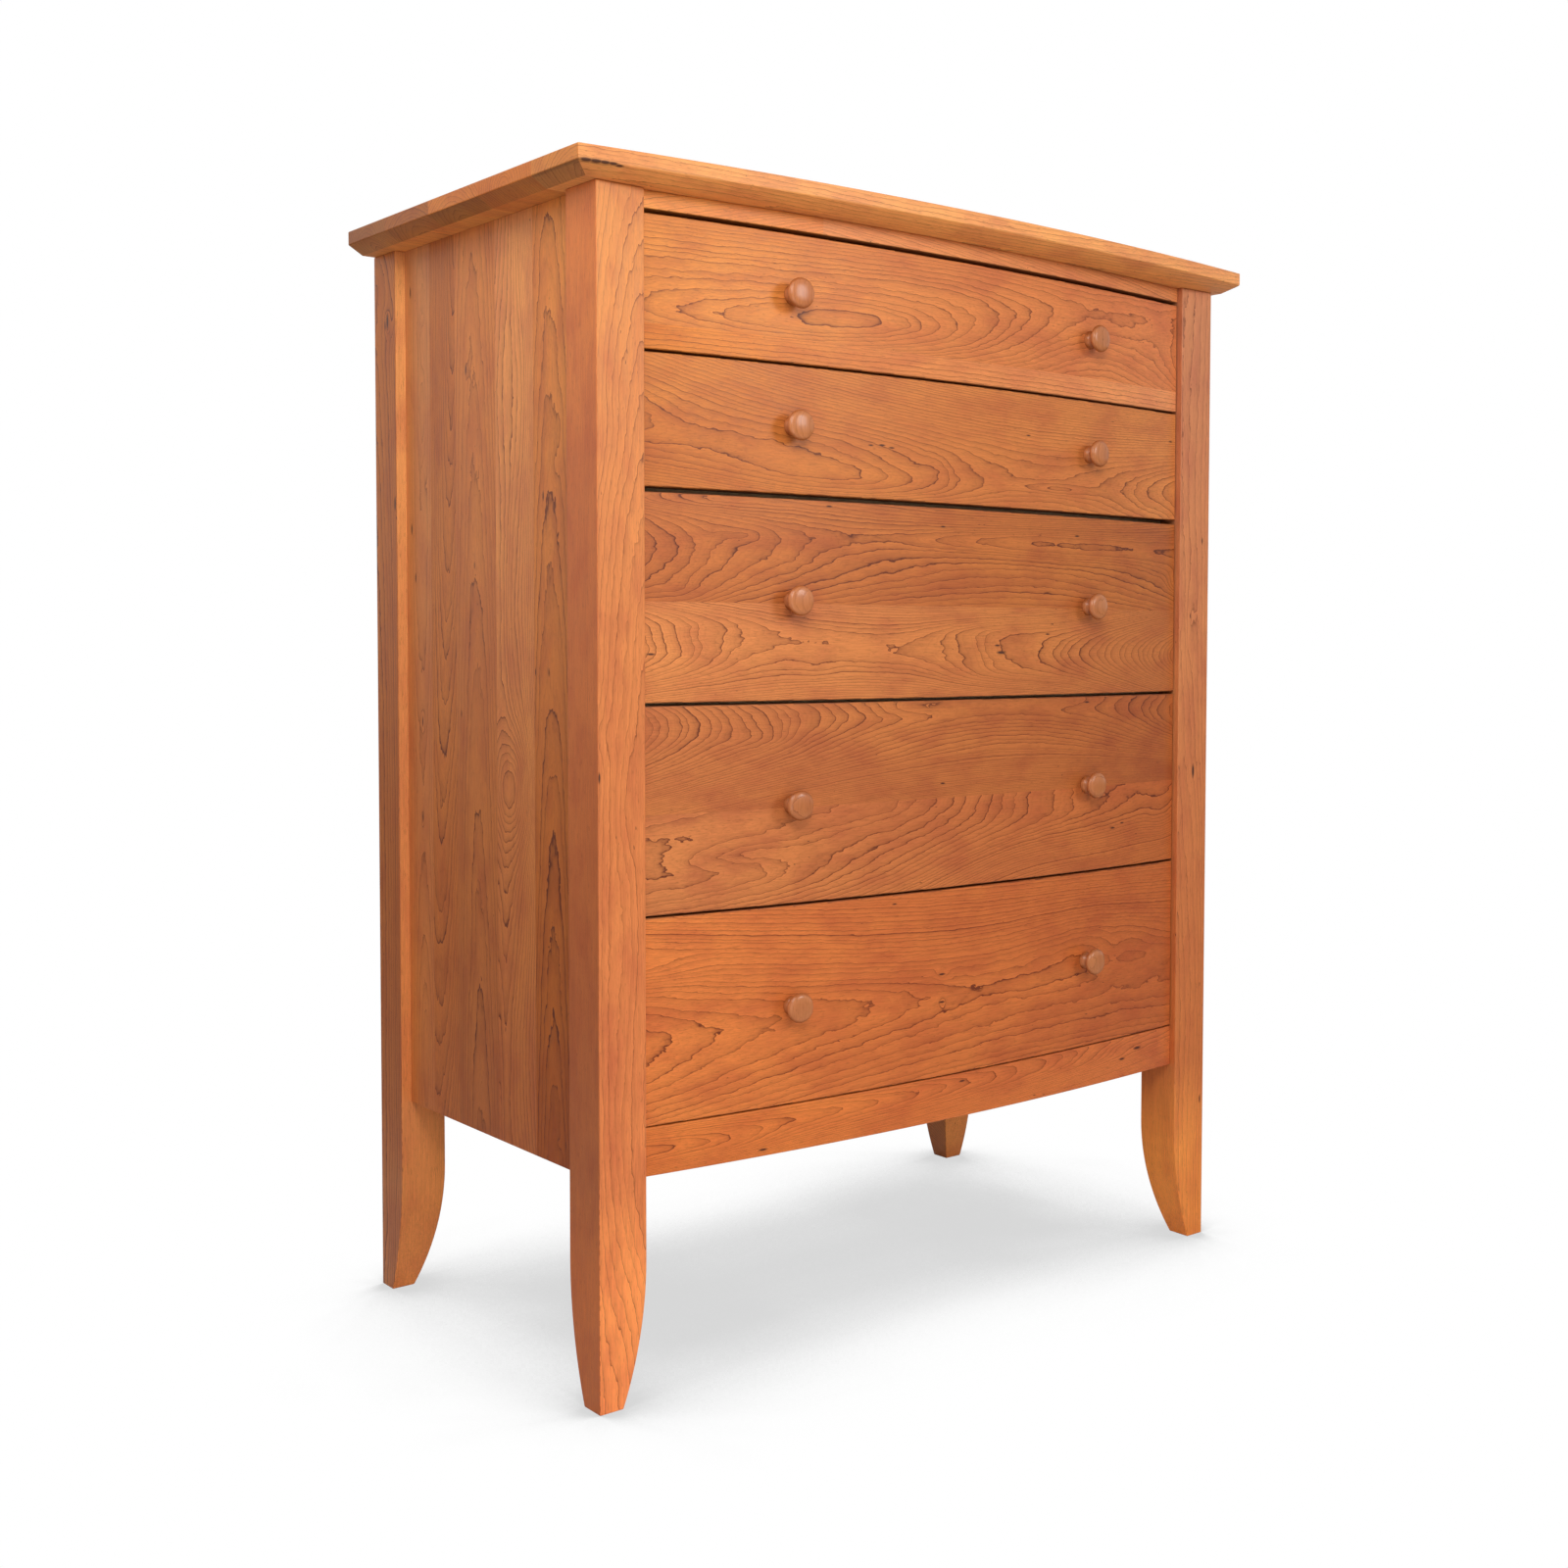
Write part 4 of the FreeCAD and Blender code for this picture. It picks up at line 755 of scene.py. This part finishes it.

# %% [markdown]
# ## The top
# The top keeps a full edge 15 mm high, and below it a bevel runs back 17 mm under the front and both ends, so
# that a thick board looks thin. Three outlines make it: two of full size and a smaller one underneath.
# Its five boards run from end to end, so the ends of the top show end grain. Every board has one shade for
# its
# end and one for the bevel under it: these are partly the boards' own tone and partly painted shade, for the
# ends are darker on the rear boards, where less light falls, and the bevels, which face down, get a painted
# shade of their own. The front edge carries painted light: a cooler tint that grows paler to the right. A
# row of overlapping spots near its left corner is a drying crack.

# %% The bevelled top
TOP_BOW = 33 * MM
BEVEL_HEIGHT, BEVEL_RUN = 10 * MM, 17 * MM
END_SHADES = [(1.0, 0.85), (1.2, 1.1), (1.2, 0.8), (0.7, 0.9), (0.6, 1.05)]  # end and bevel, by board
# The bevels under the ends face down, so they get a painted shade; the front edge gets painted light.
BEVEL_PAINTED_SHADE = Vector((0.7, 0.75, 0.85))
EDGE_PAINTED_LIGHT, EDGE_PAINTED_LIGHT_DRIFT = Vector((1.05, 1.05, 1.15)), Vector((0.4, 0.5, 0.6))
SLIGHT = 0.3  # a part of a normal that is smaller than this counts as none
TOP_BOARDS = [
    # The front board's pale, cool tone is partly its own and partly painted light on the front edge.
    (-150, board((0, -230, 1165), (0.01, 0.02, 0), (4.5, 0.9, 31), (1.45, 1.95, 2.2), (0, 0, 0),
                 spots=((-467, 1204, 1.7), (-457, 1204, 1.7), (-448, 1204, 1.5), (-440, 1204, 1.3),
                        (-433, 1203, 1)))),
    (-40, board((200, -95, 1175), (0, -0.04, 0), (4.5, 0.9, 32), (1.25, 1.45, 1.3), (0, 0, 0))),
    (70, board((-200, 20, 1170), (0, 0.03, 0), (4.5, 0.9, 33), (1.3, 1.6, 1.55), (0, 0, 0))),
    (175, board((100, 120, 1160), (0.01, 0.02, 0), (4.5, 0.9, 34), (1.4, 1.65, 1.65), (0, 0, 0))),
    (END, board((-100, 225, 1175), (0, -0.03, 0), (4.5, 0.9, 35), (1.4, 1.75, 1.8), (0, 0, 0))),
]


def top_tint(face):
    """What share of its board's tone a face of the top keeps."""
    middle = face.calc_center_median()
    if abs(face.normal.x) > SLIGHT:
        end, bevel = next(shades for (limit, _), shades in zip(TOP_BOARDS, END_SHADES)
                          if middle.y / MM <= limit)
        # Painted shade on the bevel under each end.
        return bevel * BEVEL_PAINTED_SHADE if face.normal.z < -FACING else end
    if face.normal.y < -FACING and abs(face.normal.z) < SLIGHT:
        # Painted light on the front edge, paler to the right.
        return EDGE_PAINTED_LIGHT + EDGE_PAINTED_LIGHT_DRIFT * middle.x
    return 1


low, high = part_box("top_panel")
top_radius = (high.x ** 2 + TOP_BOW ** 2) / (2 * TOP_BOW)
top_centre = low.y + top_radius
bm = bowed_solid([(high.x, top_radius, top_centre, high.y, high.z),
                  (high.x, top_radius, top_centre, high.y, low.z + BEVEL_HEIGHT),
                  (high.x - BEVEL_RUN, top_radius - BEVEL_RUN, top_centre, high.y, low.z)])
mark_boards(bm, TOP_BOARDS, axis=1)
bmesh.ops.recalc_face_normals(bm, faces=bm.faces)
tint(bm, top_tint)
finish_piece(bm, "bevelled_top", "case", top_cherry, ["top_panel"])

# %% [markdown]
# ## Drawer fronts
# The CAD fronts already have the bow, the dovetail sockets, the groove and the screw holes, so a copy of
# each is merged and smoothed rather than built again. The second front and the lowest are single boards,
# and the other three are glued up from two. The level edges of a front face the gaps, so they get the same
# painted shade, at half the tone of their board.

# %% Five fronts
# Some fades are painted light: the lower board of the first front grows paler to the right, a change that the
# lamps don't give.
FRONT_BOARDS = {
    1: [(1066, board((0, 1000, -105), (0, 0, 1.6e-4), (1.8, 1, 41),
                     (1.3, 1.45, 1.55), (0.45, 0.95, 2.7))),
        (END, board((-105, 1115, -105), (0.004, -0.041, 1.5e-4), (1.4, 1.25, 42),
                    (1.2, 1.25, 1.2), (0.05, -0.1, 0.8),
                    swells=((385, 1130, 6, 70, 40), (255, 1095, 15, 180, 65),
                            (-275, 1065, -12, 250, 35), (-135, 1095, -5, 120, 20))))],
    2: [(END, board((60, 955, -85), (-0.066, 0.009, 7.8e-5), (1.2, 1.4, 43),
                    (1.1, 1.15, 1), (0.15, 0.25, 0.75),
                    swells=((165, 933, -3.5, 60, 7), (375, 915, 2, 40, 20), (-70, 945, 2.5, 200, 20),
                            (-30, 945, -1, 20, 14), (-160, 920, -18, 240, 55)),
                    spots=((-118, 964, 0.8), (-103, 965, 1), (-90, 963, 0.9), (114, 991, 0.8),
                           (378, 1004, 0.9))))],
    3: [(795, board((95, 745, -320), (-0.018, 0.075, 2.8e-4), (1.1, 1.4, 44),
                    (1.05, 1.1, 1.15), (-0.35, -0.55, -0.7),
                    swells=((70, 750, -1.5, 40, 15), (60, 715, -4, 100, 20), (-190, 725, -1, 30, 12),
                            (60, 770, -3.5, 100, 15), (-325, 760, 2.5, 100, 15),
                            (-270, 740, 3, 100, 20)),
                    spots=((72, 744, 1.6), (66, 752, 1), (148, 765, 0.8), (-380, 743, 1)))),
        (END, board((760, 855, -395), (0.007, 0.31, 2.1e-4), (1, 1.5, 45),
                    (0.9, 0.85, 0.75), (0, 0.05, 0),
                    swells=((-350, 896, 4, 110, 11), (145, 870, -8, 260, 20),
                            (395, 830, -2.5, 20, 14), (-275, 864, -1.5, 30, 8),
                            (-345, 805, -1.5, 40, 14)),
                    spots=((-172, 897, 0.9), (-17, 882, 0.8), (198, 880, 0.9))))],
    4: [(584, board((-940, 485, -370), (0.1, -0.24, 1.2e-4), (1, 1.5, 46),
                    (1, 0.95, 1), (-0.1, -0.35, -0.65),
                    swells=((-285, 539, 2, 70, 12), (115, 485, 9.5, 160, 70), (375, 535, -3, 40, 45),
                            (-155, 545, 5.5, 190, 40), (175, 590, 9.5, 220, 40)),
                    spots=((268, 532, 1), (286, 537, 0.8)))),
        (END, board((-125, 675, -380), (0.025, -0.075, 2.6e-4), (0.9, 1.5, 47),
                    (0.9, 0.85, 0.85), (-0.3, -0.5, -0.6),
                    swells=((195, 687, 1, 50, 7), (-255, 655, -1.5, 40, 13), (425, 695, 6, 210, 35),
                            (-65, 685, 1.5, 60, 9), (95, 650, 2.5, 260, 20)),
                    spots=((218, 685, 1), (-16, 600, 0.8))))],
    5: [(END, board((-75, 345, 25), (-0.013, -0.001, 1.2e-4), (1.8, 1.2, 58),
                    (1.1, 0.95, 0.85), (-0.35, -0.45, -0.35),
                    swells=((270, 380, 2, 25, 40), (230, 405, -9, 150, 55), (365, 373, -1.5, 180, 8),
                            (-95, 375, -5, 240, 40), (105, 361, -1.5, 60, 9), (-400, 430, 7, 60, 14),
                            (-15, 388, 2.5, 10, 6), (-15, 357, 2, 5, 6)),
                    spots=((-16, 388, 1.1), (-16, 357, 1.1), (-84, 472, 0.8))))],
}

for number, boards in FRONT_BOARDS.items():
    name = f"drawer_{number}_front"
    bm = bmesh.new()
    bm.from_mesh(nodes[name].data)
    bmesh.ops.remove_doubles(bm, verts=bm.verts, dist=DOUBLES)
    mark_boards(bm, boards)
    # Painted shade on the edges that face the gaps.
    tint(bm, lambda face: GAP_DARKNESS if abs(face.normal.z) > LEVEL else 1)
    front = finish_piece(bm, f"bowed_{name}", f"drawer_{number}", level_cherry,
                         [name], eased=0)
    flats = front.modifiers.new("flat faces", "WEIGHTED_NORMAL")
    flats.keep_sharp = True

# %% [markdown]
# ## Knobs
# A knob is turned between centres: a foot that stands on the drawer, a waist and a wide head with a soft
# rim. In Blender turning is Spin, applied to a profile of a few points, and a Subdivision Surface takes the
# place of the sandpaper. Each knob comes from its own place in a tree, so no two are quite alike.

# %% Oiled cherry, turned
# Turning burnishes the wood before the oil goes on, so a knob is paler, calmer and glossier than a board.
TURNED_CHERRY = {"early": "cb8150", "late": "bd7344", "line": "7a3e20", "cloud": "b26640"}
turned_cherry = wood("oiled_cherry_turned", "ZXY", TURNED_CHERRY, contrast=0.8, roughness=0.22)
print(turned_cherry.name)

# %% Ten knobs
KNOB_SPACING = 436 * MM
KNOB_STEPS = 24
KNOB_PROFILE = ((0, 0), (6, 0), (10.2, 0), (10.7, 0.4), (10.6, 3.4), (9.7, 5.2), (8.0, 7.0), (7.5, 8.8),
                (8.6, 10.9), (12.2, 12.3), (15.3, 14.0), (16.1, 16.2), (14.8, 18.9), (11.5, 20.3),
                (6, 20.9), (0, 21.1))  # radius and height over the drawer front, in mm
FIRST_SEED = 50
KNOB_PITH, PITH_STEP = Vector((0, -30, -200)), Vector((0, 7, 9))
KNOB_RING = (2.2, 0.8)
DARKEST_KNOB, KNOB_SHADE_STEP, KNOB_SHADES = 0.90, 0.02, 4
knob_angle = math.asin(KNOB_SPACING / 2 / SHOW_RADIUS)


def turned_knob(place, angle):
    """A bmesh knob that stands on the bow at place."""
    bm = bmesh.new()
    profile = [bm.verts.new((radius * MM, -out * MM, 0)) for radius, out in KNOB_PROFILE]
    chain = [bm.edges.new(pair) for pair in zip(profile, profile[1:])]
    bmesh.ops.spin(bm, geom=profile + chain, cent=(0, 0, 0), axis=(0, 1, 0), angle=2 * math.pi,
                   steps=KNOB_STEPS, use_merge=True)
    bmesh.ops.rotate(bm, verts=bm.verts, cent=(0, 0, 0), matrix=Matrix.Rotation(angle, 3, "Z"))
    bmesh.ops.translate(bm, verts=bm.verts, vec=place)
    return bm


def knob_board(place, number, side):
    """The wood of one knob, with its own pith, seed and shade."""
    seed = FIRST_SEED + 2 * number + side
    pith = Vector((place.z / MM, place.x / MM, 0)) + KNOB_PITH + PITH_STEP * number
    shade = DARKEST_KNOB + KNOB_SHADE_STEP * (seed % KNOB_SHADES)
    return board(pith, (0, 0, 0), (*KNOB_RING, seed), (shade, shade, shade), (0, 0, 0))


for number in FRONT_BOARDS:
    for side, name in ((-1, "left"), (1, "right")):
        node = f"drawer_{number}_knob_{name}"
        low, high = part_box(node)
        place = Vector((side * KNOB_SPACING / 2, arc_at(SHOW_RADIUS, SHOW_CENTRE, KNOB_SPACING / 2),
                        (low.z + high.z) / 2))
        bm = turned_knob(place, side * knob_angle)
        mark_boards(bm, [(END, knob_board(place, number, side))])
        knob = finish_piece(bm, f"turned_{node}", f"drawer_{number}", turned_cherry, [node],
                            eased=0)
        rounding = knob.modifiers.new("rounded", "SUBSURF")
        rounding.levels = rounding.render_levels = 2

# %% [markdown]
# ## Inside the chest
# The dividers, runners, kickers and drawer boxes are hard maple, because maple wears well where wood slides
# on wood, and shows up pale against the cherry. Their CAD shapes are right, so they only get their wood.
# Planed and waxed maple is cream, close and even, with faint lines, so its contrast is lower than
# cherry's. The back is oiled cherry. Neither shows much, so each wood comes from one plain board.

# %% Waxed maple and the back's cherry
MAPLE = {"early": "efd9b2", "late": "e3c798", "line": "b08456", "cloud": "dab98a"}
MAPLE_CONTRAST = 0.7
MAPLE_BOARD = board((0, 0, 2000), (0.01, 0.02, 0), (2.5, 0.6, 71), (1, 1, 1), (0, 0, 0))
BACK_BOARD = board((0, 300, 420), (0.01, 0.02, 0), (4, 0.9, 72), (1, 1, 1), (0, 0, 0))
level_maple = wood("waxed_maple_level", "XZY", MAPLE, contrast=MAPLE_CONTRAST, plain=MAPLE_BOARD)
deep_maple = wood("waxed_maple_deep", "YZX", MAPLE, contrast=MAPLE_CONTRAST, plain=MAPLE_BOARD)
level_back = wood("oiled_cherry_back_rails", "XZY", CHERRY, plain=BACK_BOARD)
upright_back = wood("oiled_cherry_back_panel", "ZXY", CHERRY, plain=BACK_BOARD)


def give(node_name, finish):
    """Give a CAD node its finish, in every slot it has."""
    mesh = nodes[node_name].data
    if not mesh.materials:
        mesh.materials.append(finish)
    for index in range(len(mesh.materials)):
        mesh.materials[index] = finish


for name in nodes:
    if name.startswith("divider") or name.startswith("drawer") and name.endswith(("_back", "_bottom")):
        give(name, level_maple)
    elif name.startswith("drawer") and "_side_" in name or name in ("drawer_runners", "kickers"):
        give(name, deep_maple)
    elif name.startswith("back_"):
        give(name, level_back if "rail" in name else upright_back)
print(f"{sum(name.startswith('divider') for name in nodes)} dividers and the drawer boxes are maple")

# %% [markdown]
# The screws are steel wire, headed, threaded and plated with zinc, which gives a bluish grey with a dull
# shine. The plating is too thin and even for any pattern at this distance, so plain values do.

# %% Zinc-plated steel
steel, tree = new_material("zinc_plated_steel")
surface = add(tree, "ShaderNodeBsdfPrincipled", {"Base Color": linear("b9bcbd"), "Metallic": 1.0,
                                                 "Roughness": 0.35})[0]
add(tree, "ShaderNodeOutputMaterial", {0: surface})
for name in nodes:
    if name.endswith("_screws"):
        give(name, steel)
print(steel.name)

# %% [markdown]
# ## The floor
# The chest stands on a floor painted matt white, so wide that it runs into the white sky. To the camera the
# paint is plain white, and near the chest it greys by how little open sky a point sees, which the Ambient
# Occlusion node measures: that is the soft shadow under the apron and round the feet. To every
# other ray it is a matt paint that throws light back up at the chest.

# %% White studio floor
FLOOR_HALF = 20
SHADOW_REACH = 0.36
SHADOW_GREY = 0.68
SHADOW_LIMITS = (0.63, 0.86)
PAINT = (0.75, 0.75, 0.75, 1)
WHITE = (1, 1, 1, 1)

bm = bmesh.new()
bmesh.ops.create_grid(bm, x_segments=1, y_segments=1, size=FLOOR_HALF)
mesh = bpy.data.meshes.new("floor")
bm.to_mesh(mesh)
bm.free()
floor = bpy.data.objects.new("floor", mesh)
bpy.context.scene.collection.objects.link(floor)

material, tree = new_material("white_studio_floor")
open_sky = add(tree, "ShaderNodeAmbientOcclusion", {"Distance": SHADOW_REACH})["AO"]
shadow = add(tree, "ShaderNodeMapRange", {0: open_sky, 1: SHADOW_LIMITS[0], 2: SHADOW_LIMITS[1],
                                          3: SHADOW_GREY, 4: 1.0}, interpolation_type="SMOOTHSTEP")[0]
paint = add(tree, "ShaderNodeBsdfDiffuse", {0: PAINT})[0]
seen = add(tree, "ShaderNodeEmission", {0: WHITE, 1: shadow})[0]
straight = add(tree, "ShaderNodeLightPath")["Is Camera Ray"]
surface = add(tree, "ShaderNodeMixShader", {0: straight, 1: paint, 2: seen})[0]
add(tree, "ShaderNodeOutputMaterial", {0: surface})
mesh.materials.append(material)
print(f"floor {2 * FLOOR_HALF} m wide")

# %% [markdown]
# ## The light
# A white sky fills the studio. The camera, reflections and glass see it as plain white, but it lights the
# chest only a little, so that the softboxes can model it. The one on the right lights the bowed front,
# those on the left light the side and the posts, a low one lights the apron and the feet, and the one
# behind stands lower than the top, so that it lights the back without a glare on the top.

# %% Sky and softboxes
SKY_LIGHT = 0.12
SOFTBOXES = {  # place, target, size in metres, power in watts
    "left": ((-1.0, -1.7, 1.7), (0, -0.1, 0.75), 0.9, 19),
    "above_left": ((-1.2, -0.5, 2.0), (0, 0, 0.75), 0.8, 9),
    "side": ((-2.4, 0.1, 1.1), (-0.4, 0, 0.8), 1.0, 7),
    "right": ((1.2, -3.2, 1.8), (0, -0.1, 0.75), 1.0, 34),
    "low": ((-0.9, -1.9, 0.35), (0, -0.2, 0.3), 0.6, 5),
    "behind": ((2.0, 2.0, 0.65), (0, 0.1, 0.75), 1.1, 38),
}

world = bpy.data.worlds.new("studio")
world.use_nodes = True
tree = world.node_tree
tree.nodes.clear()
rays = add(tree, "ShaderNodeLightPath")
direct = add(tree, "ShaderNodeMath", {0: rays["Is Camera Ray"], 1: rays["Is Glossy Ray"]},
             operation="MAXIMUM")[0]
direct = add(tree, "ShaderNodeMath", {0: direct, 1: rays["Is Transmission Ray"]}, operation="MAXIMUM")[0]
strength = add(tree, "ShaderNodeMapRange", {0: direct, 3: SKY_LIGHT, 4: 1.0})[0]
sky = add(tree, "ShaderNodeBackground", {0: WHITE, 1: strength})[0]
add(tree, "ShaderNodeOutputWorld", {0: sky})
bpy.context.scene.world = world

for name, (place, target, size, power) in SOFTBOXES.items():
    lamp = bpy.data.lights.new(f"softbox_{name}", "AREA")
    lamp.shape = "SQUARE"
    lamp.size = size
    lamp.energy = power
    holder = bpy.data.objects.new(f"softbox_{name}", lamp)
    holder.location = place
    holder.rotation_euler = (Vector(target) - Vector(place)).to_track_quat("-Z", "Y").to_euler()
    bpy.context.scene.collection.objects.link(holder)
print(f"a sky and {len(SOFTBOXES)} softboxes")
